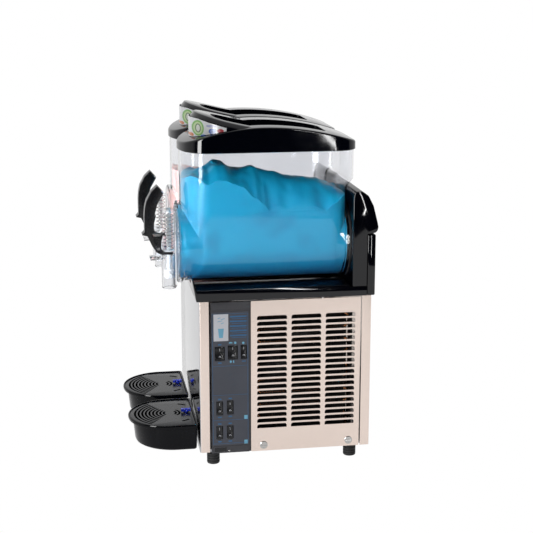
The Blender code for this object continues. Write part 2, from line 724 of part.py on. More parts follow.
def make_tap_body(side, x):
    """Clear spout with a spine up to the spring's stop and two ears for the handle's pin."""
    body = tube(f"{side}_tap_body", "Z", (x, TAP_Y, 0), 0.0115, 0.0152, 0.376, 0.448,
                clear_plastic("tap_clear"), 20)
    spine = box("spine", (x - 0.0100, -0.1560, 0.3800), (x + 0.0100, FRONT_DISC_Y - GAP, 0.5430))
    stop = box("spring_stop", (x - 0.0120, -0.1800, SPRING_HIGH_Z + GAP), (x + 0.0120, -0.1530, 0.5430))
    ears = []
    for offset in (-0.0180, 0.0145):
        ears.append(box("ear", (x + offset, -0.2000, 0.4400), (x + offset + 0.0035, -0.1700, 0.4710)))
    shelf = box("shelf", (x - 0.0180, -0.2080, 0.4400), (x + 0.0180, -0.1640, 0.4440))
    bore = rod("bore", "Z", (x, TAP_Y, 0), 0.0115, 0.37, 0.46, None, 20)
    stem_hole = rod("stem_hole", "Z", (x, TAP_Y, 0), 0.0055, 0.53, 0.55, None, 12)
    pin_hole = rod("pin_hole", "X", (0, PIVOT_Y, PIVOT_Z), 0.0034, x - 0.03, x + 0.03, None, 12)
    fuse(body, shelf, spine, stop, *ears)
    cut(body, bore, stem_hole, pin_hole)


def make_piston(side, x):
    look = material("piston_white", (0.8, 0.82, 0.84), 0.3)
    collar_z = SPRING_LOW_Z - GAP
    profile = [(0.0, 0.398), (0.0105, 0.398), (0.0108, 0.402), (0.0108, 0.414), (0.0050, 0.418),
               (0.0050, 0.4560), (0.0118, 0.4560), (0.0118, collar_z), (0.0050, collar_z),
               (0.0050, 0.5480), (0.0, 0.5490)]
    piston = turned(f"{side}_tap_piston", profile, "Z", (x, TAP_Y, 0), look, 20)
    move_origin(smooth(piston), (x, TAP_Y, 0.456))


def make_spring(side, x):
    """Compression spring between the piston's collar and the stop."""
    wire = 0.0009
    coil = 0.0098
    per_turn = 10
    total = SPRING_TURNS * per_turn
    low = SPRING_LOW_Z + wire + 0.0002
    high = SPRING_HIGH_Z - wire - 0.0002
    rings = []
    for i in range(total + 1):
        angle = 2 * math.pi * i / per_turn
        out = Vector((math.cos(angle), math.sin(angle), 0))
        centre = Vector((x, TAP_Y, low + (high - low) * i / total)) + out * coil
        ring = []
        for k in range(4):
            turn = math.pi * k / 2
            ring.append(centre + out * wire * math.cos(turn) + Vector((0, 0, wire * math.sin(turn))))
        rings.append(ring)
    spring = loft(f"{side}_tap_spring", rings, material("spring_steel", (0.8, 0.8, 0.82), 0.25, 1.0))
    smooth(spring, 80)


def make_handle(side, x):
    """Curved grip with a forked arm that straddles the piston under its collar."""
    grip = [
        (-0.1905, 0.5975), (-0.2035, 0.5850), (-0.2137, 0.5662), (-0.2175, 0.5500), (-0.2187, 0.5344),
        (-0.2187, 0.5002), (-0.2247, 0.4940), (-0.2132, 0.4914), (-0.2032, 0.4695), (-0.1970, 0.4600),
        (-0.1880, 0.4590), (-0.1850, 0.4660), (-0.1840, 0.4797), (-0.1794, 0.4967), (-0.1870, 0.4900),
        (-0.2000, 0.4900), (-0.2026, 0.4954), (-0.1995, 0.5200), (-0.1976, 0.5338), (-0.1908, 0.5591),
        (-0.1774, 0.5828),
    ]
    look = black_plastic("handle_black", 0.25)
    handle = prism(f"{side}_tap_handle", grip, "X", x - 0.0135, x + 0.0135, look)
    arm = [(-0.1960, 0.4700), (-0.1960, 0.4570), (-0.1860, 0.4510), (-0.1600, 0.4500), (-0.1600, 0.4550),
           (-0.1812, 0.4556), (-0.1862, 0.4700)]
    arm_solid = prism("arm", arm, "X", x - 0.0125, x + 0.0125)
    slot = box("arm_slot", (x - 0.0070, -0.1795, 0.4400), (x + 0.0070, -0.1500, 0.4900))
    pin_hole = rod("pin_hole", "X", (0, PIVOT_Y, PIVOT_Z), 0.0034, x - 0.03, x + 0.03, None, 12)
    fuse(handle, arm_solid)
    cut(handle, slot, pin_hole)
    move_origin(handle, (x, PIVOT_Y, PIVOT_Z))


def make_pin(side, x):
    rod(f"{side}_handle_pin", "X", (0, PIVOT_Y, PIVOT_Z), 0.0030, x - 0.0190, x + 0.0190,
        steel("pin_steel"), 12)


# ---------------------------------------------------------------- drip trays

def tray_outline(x_mid, radius, rear, centre_y=TRAY_CENTRE_Y, detail=10):
    """D shape: a half circle in front, straight sides and a flat back."""
    half = [(0.0, centre_y - radius)]
    for i in range(1, detail + 1):
        angle = math.pi / 2 * i / detail
        half.append((radius * math.sin(angle), centre_y - radius * math.cos(angle)))
    corner = 0.006
    for degrees in (0, 45, 90):
        angle = math.radians(degrees)
        half.append((radius - corner + corner * math.cos(angle), rear - corner + corner * math.sin(angle)))
    return full_outline(x_mid, half)


def tray_ring(x_mid, inset, z, wall=0.0):
    """Ring of the tray, drawn in by inset at the sides and by twice that in front."""
    rear = TRAY_REAR_Y - wall - inset * 0.3
    outline = tray_outline(x_mid, TRAY_RADIUS - inset, rear, TRAY_CENTRE_Y + inset - wall)
    return [(a, b, z) for a, b in outline]


def make_tray(side, x):
    """Deep tray with an overhanging rim and a step for the grid."""
    outer = [(0.0140, TRAY_BOTTOM_Z), (0.0080, TRAY_BOTTOM_Z + 0.0030), (0.0070, TRAY_BOTTOM_Z + 0.0080),
             (0.0045, TRAY_RIM_Z), (0.0, TRAY_RIM_Z + 0.0020), (0.0, TRAY_TOP_Z)]
    inner = [(0.0170, TRAY_BOTTOM_Z + 0.0030), (0.0110, TRAY_BOTTOM_Z + 0.0060),
             (0.0100, TRAY_BOTTOM_Z + 0.0110), (0.0075, 0.0900), (0.0030, 0.0905), (0.0030, 0.110)]
    tray = capped_loft(f"{side}_drip_tray", [tray_ring(x, inset, z) for inset, z in outer],
                       black_plastic("tray_black", 0.15))
    hollow = capped_loft("tray_hollow", [tray_ring(x, inset, z, TRAY_WALL) for inset, z in inner])
    cut(tray, hollow)
    smooth(tray)


def plain_sectors(centre_x, centre_y):
    """Two wedges, left and right of the grid's centre, where no slot is cut."""
    reach = 0.100
    spread = reach * math.tan(math.radians(GRID_PLAIN_HALF))
    sectors = []
    for sign in (1, -1):
        outline = [(centre_x - sign * 0.003, centre_y), (centre_x + sign * reach, centre_y - spread),
                   (centre_x + sign * reach, centre_y + spread)]
        sectors.append(prism("plain_sector", outline, "Z", 0.07, 0.11))
    return sectors


def make_grid(side, x):
    """Lift-out plate with ring-shaped slots in front and behind, and a hole for the float."""
    outline = tray_outline(x, TRAY_RADIUS - 0.0036, TRAY_REAR_Y - 0.0046)
    look = material("grid_black", (0.03, 0.035, 0.045), 0.3)
    grid = prism(f"{side}_drip_grid", outline, "Z", 0.0909, 0.0938, look)
    centre_y = TRAY_CENTRE_Y + 0.002
    slots = []
    for radius in GRID_SLOT_RADII:
        ring = tube("grid_ring", "Z", (x, centre_y, 0), radius, radius + GRID_SLOT, 0.08, 0.10, None, 20)
        keep_rear = box("keep_rear", (x - 0.1, FLOAT_Y - 0.0100, 0.07), (x + 0.1, -0.10, 0.11))
        cut(ring, keep_rear, *plain_sectors(x, centre_y))
        slots.append(ring)
    float_hole = rod("float_hole", "Z", (x, FLOAT_Y, 0), 0.0065, 0.08, 0.10, None, 16)
    cut(grid, float_hole, *slots)


def make_float(side, x):
    """Blue level marker that stands through the grid and rises as the tray fills."""
    look = material("float_blue", (0.01, 0.03, 0.45), 0.35)
    profile = [(0.0, 0.0560), (0.0068, 0.0560), (0.0068, 0.0640), (0.0035, 0.0660), (0.0035, 0.0945),
               (0.0050, 0.0985), (0.0045, 0.1010), (0.0, 0.1030)]
    marker = turned(f"{side}_tray_float", profile, "Z", (x, FLOAT_Y, 0), look, 12)
    wing = [(x - 0.0050, FLOAT_Y - 0.0110), (x + 0.0050, FLOAT_Y - 0.0110), (x + 0.0015, FLOAT_Y),
            (x + 0.0055, FLOAT_Y + 0.0095), (x - 0.0055, FLOAT_Y + 0.0095), (x - 0.0015, FLOAT_Y)]
    wings = prism("wings", wing, "Z", 0.0965, 0.1020)
    fuse(marker, wings)
    move_origin(marker, (x, FLOAT_Y, 0.0945))


# ---------------------------------------------------------------- assembly

def main():
    clear_scene()
    make_base_pan()
    make_folded_panels()
    make_side_panels()
    make_panel_screws()
    make_control_fascia()
    make_rockers()
    make_feet()
    make_power_inlet()
    make_condensing_unit()
    make_fan_blade()
    make_electrics_box()
    make_deck()
    make_tower()
    make_rear_cover()
    for side, x in SIDES.items():
        make_drive(side, x)
        make_drum(side, x)
        make_gasket(side, x)
        make_auger(side, x)
        make_bowl(side, x)
        make_lid(side, x)
        make_label(side, x)
        make_tap_body(side, x)
        make_piston(side, x)
        make_spring(side, x)
        make_handle(side, x)
        make_pin(side, x)
        make_tray(side, x)
        make_grid(side, x)
        make_float(side, x)


main()
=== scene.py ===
"""Looks of a two-bowl slush machine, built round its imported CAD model.

Frame: metres, +Z up, the taps and drip trays face -Y, the control panel is on the +X side.
"Right" is the bowl at +X and "left" is the bowl at -X. Each piece rides on the CAD body it belongs to.
"""

import math
from functools import cache

import bmesh
import bpy
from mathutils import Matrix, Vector, noise
from mathutils.geometry import interpolate_bezier


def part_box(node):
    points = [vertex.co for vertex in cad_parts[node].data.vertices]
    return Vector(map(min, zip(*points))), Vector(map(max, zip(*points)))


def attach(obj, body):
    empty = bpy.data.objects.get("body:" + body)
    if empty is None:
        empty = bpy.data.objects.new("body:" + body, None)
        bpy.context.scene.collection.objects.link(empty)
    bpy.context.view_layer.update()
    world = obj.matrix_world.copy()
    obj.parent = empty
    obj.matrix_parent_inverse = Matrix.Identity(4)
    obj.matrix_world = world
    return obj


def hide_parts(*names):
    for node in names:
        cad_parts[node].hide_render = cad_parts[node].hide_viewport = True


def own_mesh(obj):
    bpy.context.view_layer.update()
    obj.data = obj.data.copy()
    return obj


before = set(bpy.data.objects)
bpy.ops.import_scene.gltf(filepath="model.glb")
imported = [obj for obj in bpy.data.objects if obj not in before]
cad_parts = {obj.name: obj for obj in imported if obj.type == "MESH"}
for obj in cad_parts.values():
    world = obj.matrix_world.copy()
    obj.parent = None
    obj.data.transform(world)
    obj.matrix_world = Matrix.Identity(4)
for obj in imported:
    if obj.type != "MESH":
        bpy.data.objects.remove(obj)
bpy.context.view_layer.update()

# Driving dimensions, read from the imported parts.
HALF_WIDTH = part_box("deck")[1].x
PANEL_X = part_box("right_grille_panel")[1].x
PANEL_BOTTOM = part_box("right_grille_panel")[0].z
PANEL_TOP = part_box("front_panel")[1].z
FRONT_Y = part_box("front_panel")[0].y
REAR_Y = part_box("rear_panel")[1].y
BOWL_X = (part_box("right_bowl")[0].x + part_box("right_bowl")[1].x) / 2
BOWL_RIM_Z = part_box("right_bowl")[1].z
FRONT_DISC_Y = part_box("right_bowl")[0].y
BOWL_AXIS_Z = (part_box("right_bowl_gasket")[0].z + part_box("right_bowl_gasket")[1].z) / 2
TOWER_FRONT_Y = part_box("tower")[0].y
TOWER_TOP_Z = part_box("tower")[1].z
REAR_COVER_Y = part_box("rear_cover")[1].y
REAR_COVER_TOP_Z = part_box("rear_cover")[1].z
DECK_LIP_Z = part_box("deck")[1].z
LID_TOP_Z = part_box("right_lid")[1].z
TRAY_TOP_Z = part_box("right_drip_tray")[1].z
TRAY_BOTTOM_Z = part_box("right_drip_tray")[0].z
FOOT_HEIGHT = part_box("foot_front_right")[1].z

# Design values of the pieces, metres.
SHEET = 0.0012
GAP = 0.0004
RETURN_DEPTH = 0.0205
FOLD_RADIUS = 0.0045

LOUVRE_COLUMNS = 3
LOUVRE_ROWS = 20
LOUVRE_WIDTH = 0.063
LOUVRE_HEIGHT = 0.008
LOUVRE_FIRST_Y = 0.0375
LOUVRE_COLUMN_STEP = 0.0732
LOUVRE_TOP_Z = 0.3275
LOUVRE_ROW_STEP = 0.0126
LOUVRE_CORNER = 0.0042
GRILLE_FRONT_Y = -0.0074
PANEL_MARGIN = 0.0028
SCREW_YS = (0.0197, 0.2047)
SCREW_Z = 0.0455
INLET_X = -0.1200
INLET_Z = 0.0700

FASCIA_FRONT = -0.0917
FASCIA_REAR = -0.0110
MEMBRANE_X = PANEL_X - 0.0003
PRINT_X = PANEL_X + 0.0001

BOWL_RADIUS = 0.084
BOWL_RIM_HALF = 0.093
BOWL_FRONT_Y = -0.1444
BOWL_REAR_Y = 0.2035
BOWL_RING_Y = 0.2046
BOWL_REAR_TOP_Y = 0.2165
BOWL_WALL = 0.003
SHOULDER_Z = 0.592
SHOULDER_RISE = 0.022
REAR_OPENING_RADIUS = 0.079
FRONT_DISC_RADIUS = 0.087
SLUSH_GAP = 0.0006
TUNNEL_RADIUS = 0.0768
VISOR_ROOT = 0.006
LABEL_REACH = 19

TOWER_SEAM_Y = 0.240
TOWER_FOOT_Z = 0.3869
COVER_WALL = 0.003
DECK_TOP_Z = 0.3915

TAP_Y = -0.168
TAP_BORE = 0.0115
PIVOT_Y = -0.1906
PIVOT_Z = 0.4648
SPRING_LOW_Z = 0.4585
SPRING_HIGH_Z = 0.539
SPRING_TURNS = 10

TRAY_CENTRE_Y = -0.174
TRAY_RADIUS = 0.0885
TRAY_REAR_Y = -0.1192
TRAY_WALL = 0.003
TRAY_RIM_Z = TRAY_TOP_Z - 0.0095
FLOAT_Y = -0.1365
GRID_BOTTOM_Z = 0.0909
GRID_TOP_Z = 0.0938
GRID_FIRST_RADIUS = 0.0110
GRID_PITCH = 0.0078
GRID_SLOT = 0.0047
GRID_RINGS = 9
GRID_PLAIN_HALF = 32

SIDES = {"right": BOWL_X, "left": -BOWL_X}

# Rocker switches: name, centre Y, centre Z, width, height.
ROCKERS = [
    ("switch_main", -0.0732, 0.2535, 0.0205, 0.0300),
    ("switch_mixer", -0.0457, 0.2553, 0.0205, 0.0300),
    ("switch_light", -0.0225, 0.2553, 0.0125, 0.0300),
    ("switch_right_auger", -0.0743, 0.1333, 0.0135, 0.0300),
    ("switch_right_chill", -0.0520, 0.1343, 0.0135, 0.0300),
    ("switch_left_auger", -0.0747, 0.0785, 0.0135, 0.0300),
    ("switch_left_chill", -0.0523, 0.0788, 0.0135, 0.0300),
]
ROCKER_AXIS_X = 0.1930
ROCKER_TILT = math.radians(7)
ROCKER_CLEARANCE = 0.0016


# ---- mesh helpers

def mesh_object(name, bm, look=None):
    """Turn a bmesh into a linked object with outward faces and one material."""
    bmesh.ops.recalc_face_normals(bm, faces=bm.faces)
    mesh = bpy.data.meshes.new(name)
    bm.to_mesh(mesh)
    bm.free()
    made = bpy.data.objects.new(name, mesh)
    bpy.context.collection.objects.link(made)
    if look:
        mesh.materials.append(look)
    return made


def smooth(made, angle=32):
    made.data.shade_smooth()
    made.data.set_sharp_from_angle(angle=math.radians(angle))
    return made


def apply_modifiers(made):
    """Replace an object's mesh with the result of its modifiers."""
    bpy.context.view_layer.update()
    graph = bpy.context.evaluated_depsgraph_get()
    result = bpy.data.meshes.new_from_object(made.evaluated_get(graph))
    made.modifiers.clear()
    old = made.data
    made.data = result
    bpy.data.meshes.remove(old)
    result.name = made.name
    return made


def boolean(made, operation, *tools):
    """Apply a Boolean with each tool, then delete the tools."""
    for tool in tools:
        step = made.modifiers.new(operation.lower(), "BOOLEAN")
        step.operation = operation
        step.solver = "EXACT"
        step.object = tool
    apply_modifiers(made)
    for tool in tools:
        bpy.data.objects.remove(tool, do_unlink=True)
    return made


def cut(made, *tools):
    return boolean(made, "DIFFERENCE", *tools)


def fuse(made, *tools):
    return boolean(made, "UNION", *tools)


def join(made, *others):
    """Put several objects' meshes into one object, keeping their materials."""
    for other in others:
        bm = bmesh.new()
        bm.from_mesh(made.data)
        first_new = len(bm.faces)
        offset = len(made.data.materials)
        bm.from_mesh(other.data)
        bm.faces.ensure_lookup_table()
        for face in bm.faces[first_new:]:
            face.material_index += offset
        for look in other.data.materials:
            made.data.materials.append(look)
        bm.to_mesh(made.data)
        bm.free()
        bpy.data.objects.remove(other, do_unlink=True)
    return made


def bevelled(made, width, segments=3, angle=30):
    """Round the edges of an object and shade it so that flat faces stay flat."""
    rounding = made.modifiers.new("edges", "BEVEL")
    rounding.width = width
    rounding.segments = segments
    rounding.limit_method = "ANGLE"
    rounding.angle_limit = math.radians(angle)
    rounding.harden_normals = False
    apply_modifiers(made)
    return smooth(made)


def along(axis, a, b, c):
    """Place outline coordinates (a, b) and a distance c along the named axis."""
    if axis == "X":
        return (c, a, b)
    if axis == "Y":
        return (a, c, b)
    return (a, b, c)


def skin(bm, rings):
    """Join equal rings of points with faces and return the rings' vertices."""
    loops = [[bm.verts.new(point) for point in ring] for ring in rings]
    count = len(rings[0])
    for low, high in zip(loops, loops[1:]):
        for i in range(count):
            j = (i + 1) % count
            bm.faces.new((low[i], low[j], high[j], high[i]))
    return loops


def skin_and_cap(bm, rings):
    """Add one closed solid made of equal rings, with a flat face at each end."""
    loops = skin(bm, rings)
    bm.faces.new(loops[0])
    bm.faces.new(loops[-1])


def loft(name, rings, look=None):
    bm = bmesh.new()
    skin_and_cap(bm, rings)
    return mesh_object(name, bm, look)


def prism(name, outline, axis, low, high, look=None):
    """Extrude an outline along an axis. The outline is (y, z), (x, z) or (x, y)."""
    rings = [[along(axis, a, b, level) for a, b in outline] for level in (low, high)]
    return loft(name, rings, look)


def box(name, low, high, look=None, bevel=0.0):
    outline = [(low[0], low[1]), (high[0], low[1]), (high[0], high[1]), (low[0], high[1])]
    made = prism(name, outline, "Z", low[2], high[2], look)
    if bevel:
        bevelled(made, bevel)
    return made


def turned(name, profile, axis, centre, look=None, segments=64):
    """Turn (radius, distance) points about an axis. Radius 0 at both ends closes a solid."""
    bm = bmesh.new()
    solid = profile[0][0] == 0.0
    rows = []
    for radius, distance in profile:
        steps = 1 if radius == 0.0 else segments
        row = []
        for i in range(steps):
            angle = 2 * math.pi * i / segments
            offset = along(axis, radius * math.cos(angle), radius * math.sin(angle), distance)
            row.append(bm.verts.new(Vector(centre) + Vector(offset)))
        rows.append(row)
    pairs = list(zip(rows, rows[1:]))
    if not solid:
        pairs.append((rows[-1], rows[0]))
    for first, second in pairs:
        for i in range(segments):
            j = (i + 1) % segments
            corners = [first[i % len(first)], first[j % len(first)]]
            corners += [second[j % len(second)], second[i % len(second)]]
            bm.faces.new(list(dict.fromkeys(corners)))
    return smooth(mesh_object(name, bm, look))


def rod(name, axis, centre, radius, low, high, look=None, segments=48, edge=0.0):
    """A round bar. A positive edge chamfers both its rims."""
    profile = [(0.0, low), (radius - edge, low)]
    if edge:
        profile += [(radius, low + edge), (radius, high - edge)]
    profile += [(radius - edge, high), (0.0, high)]
    return turned(name, profile, axis, centre, look, segments)


def tube(name, axis, centre, inner, outer, low, high, look=None, segments=48):
    profile = [(outer, low), (outer, high), (inner, high), (inner, low)]
    return turned(name, profile, axis, centre, look, segments)


def swept_tube(name, path, radius, look=None, around=10):
    """A round wire along a list of points."""
    points = [Vector(p) for p in path]
    rings = []
    for i, point in enumerate(points):
        ahead = points[min(i + 1, len(points) - 1)]
        behind = points[max(i - 1, 0)]
        direction = (ahead - behind).normalized()
        side = direction.cross(Vector((0, 0, 1)))
        if side.length < 0.1:
            side = direction.cross(Vector((0, 1, 0)))
        side.normalize()
        up = side.cross(direction)
        ring = []
        for k in range(around):
            turn = 2 * math.pi * k / around
            ring.append(point + (side * math.cos(turn) + up * math.sin(turn)) * radius)
        rings.append(ring)
    return smooth(loft(name, rings, look), 50)


def rounded_path(corners, radius, detail=5):
    """An open path through corners, with each inner corner turned into a curve."""
    points = [corners[0]]
    for before, corner, after in zip(corners, corners[1:], corners[2:]):
        p = Vector((*corner, 0))
        start = p + (Vector((*before, 0)) - p).normalized() * radius
        end = p + (Vector((*after, 0)) - p).normalized() * radius
        pull = 0.55
        curve = interpolate_bezier(start, start.lerp(p, pull), end.lerp(p, pull), end, detail + 1)
        points += [(c.x, c.y) for c in curve]
    points.append(corners[-1])
    return points


def rounded_outline(corners, radius, detail=5):
    """A closed outline with every corner rounded."""
    closed = [corners[-1], *corners, corners[0]]
    return rounded_path(closed, radius, detail)[1:-1]


def rounded_rectangle(y, z, width, height, radius, detail=4):
    half_w = width / 2
    half_h = height / 2
    corners = [(y - half_w, z - half_h), (y + half_w, z - half_h),
               (y + half_w, z + half_h), (y - half_w, z + half_h)]
    return rounded_outline(corners, radius, detail)


def half_outline(half_width, front, rear, bow, front_corner, rear_corner, detail=10, side_steps=1):
    """Points (x, y) from the front centre round the +x side to the flat back."""
    bow_end = half_width - front_corner
    points = []
    for i in range(detail):
        x = bow_end * i / detail
        points.append((x, front + bow - math.sqrt(bow * bow - x * x)))
    slope = bow_end / math.sqrt(bow * bow - bow_end * bow_end)
    start_y = front + bow - math.sqrt(bow * bow - bow_end * bow_end)
    start = Vector((bow_end, start_y, 0))
    reach = front_corner * 0.55
    lead = start + Vector((1, slope, 0)) * reach
    end = Vector((half_width, start_y + front_corner * (0.9 + slope), 0))
    tail = end - Vector((0, reach, 0))
    points += [(p.x, p.y) for p in interpolate_bezier(start, lead, tail, end, detail + 1)]
    side_length = rear - rear_corner - end.y
    for i in range(1, side_steps):
        points.append((half_width, end.y + side_length * i / side_steps))
    for i in range(detail + 1):
        angle = math.pi / 2 * i / detail
        x = half_width - rear_corner + rear_corner * math.cos(angle)
        points.append((x, rear - rear_corner + rear_corner * math.sin(angle)))
    return points


def eased(share):
    """A share kept between 0 and 1, with a soft start and end."""
    share = min(max(share, 0.0), 1.0)
    return share * share * (3 - 2 * share)


def full_outline(centre_x, half):
    """Mirror a half outline. The first point is the front centre."""
    right = [(centre_x + x, y) for x, y in half]
    left = [(centre_x - x, y) for x, y in half[1:]]
    return right + left[::-1]


def capped_loft(name, rings, look=None):
    """Skin mirrored rings; both caps are strips across X, so they can be arched along Y."""
    bm = bmesh.new()
    loops = skin(bm, rings)
    count = len(rings[0])
    for loop in (loops[0], loops[-1]):
        for i in range(count // 2):
            corners = [loop[i], loop[i + 1], loop[count - i - 1], loop[-i]]
            bm.faces.new(list(dict.fromkeys(corners)))
    return mesh_object(name, bm, look)


def place(made, body, slot, *nodes):
    """Hang a piece on its body and hide the CAD nodes it stands for."""
    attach(made, body)
    if nodes:
        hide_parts(*nodes)
    return made


# ---- materials

def object_position(tree):
    return tree.nodes.new("ShaderNodeTexCoord").outputs["Object"]


def noise_value(tree, scale, stretch=(1.0, 1.0, 1.0), detail=3.0):
    """Noise in the piece's own coordinates; stretch below 1 draws it out along an axis."""
    mapping = tree.nodes.new("ShaderNodeMapping")
    mapping.inputs["Scale"].default_value = stretch
    tree.links.new(object_position(tree), mapping.inputs["Vector"])
    texture = tree.nodes.new("ShaderNodeTexNoise")
    texture.inputs["Scale"].default_value = scale
    texture.inputs["Detail"].default_value = detail
    tree.links.new(mapping.outputs["Vector"], texture.inputs["Vector"])
    return texture.outputs["Fac"]


def remap(tree, value, from_low, from_high, to_low, to_high):
    node = tree.nodes.new("ShaderNodeMapRange")
    node.clamp = True
    for index, number in enumerate((from_low, from_high, to_low, to_high), start=1):
        node.inputs[index].default_value = number
    tree.links.new(value, node.inputs[0])
    return node.outputs[0]


def mix_colours(tree, factor, first, second):
    """Mix two colours; each is a colour or the output of another node."""
    node = tree.nodes.new("ShaderNodeMix")
    node.data_type = "RGBA"
    tree.links.new(factor, node.inputs["Factor"])
    for socket, colour in ((node.inputs[6], first), (node.inputs[7], second)):
        if isinstance(colour, tuple):
            socket.default_value = (*colour, 1.0)
        else:
            tree.links.new(colour, socket)
    return node.outputs[2]


def add_bump(tree, shader, height, strength, depth):
    node = tree.nodes.new("ShaderNodeBump")
    node.inputs["Strength"].default_value = strength
    node.inputs["Distance"].default_value = depth
    tree.links.new(height, node.inputs["Height"])
    tree.links.new(node.outputs["Normal"], shader.inputs["Normal"])


def surface(name, colour, roughness, metallic=0.0, grain=300.0, stretch=(1.0, 1.0, 1.0),
            colour_spread=0.08, roughness_spread=0.06, bump=0.2, depth=0.00005, values=None):
    """A material whose colour, roughness and relief vary with noise."""
    made = bpy.data.materials.new(f"{name}_look")
    made.use_nodes = True
    tree = made.node_tree
    shader = tree.nodes["Principled BSDF"]
    shader.inputs["Metallic"].default_value = metallic
    for socket, value in (values or {}).items():
        shader.inputs[socket].default_value = value
    fine = noise_value(tree, grain, stretch)
    broad = noise_value(tree, 14.0, detail=2.0)
    darker = tuple(channel * (1 - colour_spread) for channel in colour)
    lighter = tuple(min(channel * (1 + colour_spread), 1.0) for channel in colour)
    shade = mix_colours(tree, remap(tree, broad, 0.3, 0.7, 0.0, 1.0), darker, lighter)
    tree.links.new(shade, shader.inputs["Base Color"])
    low = max(roughness - roughness_spread, 0.02)
    rough = remap(tree, fine, 0.3, 0.7, low, roughness + roughness_spread)
    tree.links.new(rough, shader.inputs["Roughness"])
    add_bump(tree, shader, fine, bump, depth)
    return made


@cache
def gloss_black():
    return surface("gloss_black", (0.0012, 0.0015, 0.0040), 0.06, grain=60.0, roughness_spread=0.02,
                   bump=0.05, values={"IOR": 1.5})


@cache
def lid_black():
    return surface("lid_black", (0.0012, 0.0018, 0.0050), 0.06, grain=60.0, roughness_spread=0.02,
                   bump=0.05, values={"IOR": 1.38})


@cache
def side_steel():
    """Brushed stainless with a vertical grain."""
    return surface("side_steel", (0.90, 0.765, 0.69), 0.22, 1.0, grain=2600.0, stretch=(1, 1, 0.02),
                   colour_spread=0.015, roughness_spread=0.03, bump=0.03, depth=0.00001)


@cache
def front_steel():
    """Polished stainless that mirrors the drip trays."""
    return surface("front_steel", (0.62, 0.625, 0.64), 0.07, 1.0, grain=900.0, stretch=(1, 1, 0.02),
                   colour_spread=0.03, roughness_spread=0.03, bump=0.04, depth=0.00002)


@cache
def galvanised():
    return surface("galvanised", (0.42, 0.43, 0.45), 0.42, 1.0, grain=90.0, colour_spread=0.25,
                   roughness_spread=0.12)


@cache
def bright_steel():
    return surface("bright_steel", (0.55, 0.54, 0.53), 0.18, 1.0, grain=500.0, colour_spread=0.04)


@cache
def satin_black():
    return surface("satin_black", (0.005, 0.0055, 0.008), 0.26, grain=900.0, bump=0.25, depth=0.00004)


@cache
def fascia_plastic():
    return surface("fascia_plastic", (0.052, 0.052, 0.062), 0.38, grain=1200.0, bump=0.25, depth=0.00003)


@cache
def membrane():
    return surface("membrane", (0.070, 0.078, 0.105), 0.42, grain=1600.0, bump=0.2, depth=0.00002)


@cache
def print_blue():
    return surface("print_blue", (0.035, 0.16, 0.36), 0.4, grain=2000.0, colour_spread=0.15)


@cache
def print_pale():
    return surface("print_pale", (0.20, 0.55, 0.78), 0.4, grain=2000.0, colour_spread=0.10)


# White print; the same white is also a painted highlight on the tap handles.
@cache
def white_print_and_highlight():
    return surface("white_print_and_highlight", (0.78, 0.80, 0.86), 0.4, grain=2000.0, colour_spread=0.05)


@cache
def rubber():
    return surface("rubber", (0.012, 0.012, 0.013), 0.7, grain=700.0, bump=0.5, depth=0.0001)


@cache
def white_plastic():
    return surface("white_plastic", (0.74, 0.76, 0.78), 0.3, grain=200.0, colour_spread=0.04)


@cache
def grey_enamel():
    return surface("grey_enamel", (0.16, 0.17, 0.18), 0.35, grain=220.0, bump=0.3)


@cache
def fin_aluminium():
    return surface("fin_aluminium", (0.52, 0.53, 0.55), 0.35, 1.0, grain=300.0)


@cache
def fin_black():
    return surface("fin_black", (0.006, 0.006, 0.007), 0.5, 0.3, grain=300.0)


@cache
def copper():
    return surface("copper", (0.78, 0.33, 0.15), 0.25, 1.0, grain=250.0, colour_spread=0.2)


@cache
def tray_black():
    return surface("tray_black", (0.0015, 0.002, 0.004), 0.09, grain=80.0, roughness_spread=0.03,
                   bump=0.05, values={"IOR": 1.26})


@cache
def grid_black():
    return surface("grid_black", (0.006, 0.008, 0.012), 0.20, grain=400.0, bump=0.15,
                   values={"IOR": 1.38})


@cache
def float_blue():
    return surface("float_blue", (0.008, 0.03, 0.50), 0.3, grain=300.0)


@cache
def clear_plastic():
    """Clear polycarbonate. Shadow rays pass it, so what it holds is lit."""
    made = surface("clear_plastic", (0.96, 0.965, 0.98), 0.03, grain=25.0, colour_spread=0.01,
                   roughness_spread=0.01, bump=0.04, depth=0.0002,
                   values={"Transmission Weight": 1.0, "IOR": 1.33})
    tree = made.node_tree
    passing = tree.nodes.new("ShaderNodeBsdfTransparent")
    passing.inputs["Color"].default_value = (0.93, 0.96, 0.98, 1.0)
    ray = tree.nodes.new("ShaderNodeLightPath")
    mix = tree.nodes.new("ShaderNodeMixShader")
    tree.links.new(ray.outputs["Is Shadow Ray"], mix.inputs[0])
    tree.links.new(tree.nodes["Principled BSDF"].outputs[0], mix.inputs[1])
    tree.links.new(passing.outputs[0], mix.inputs[2])
    tree.links.new(mix.outputs[0], tree.nodes["Material Output"].inputs["Surface"])
    return made


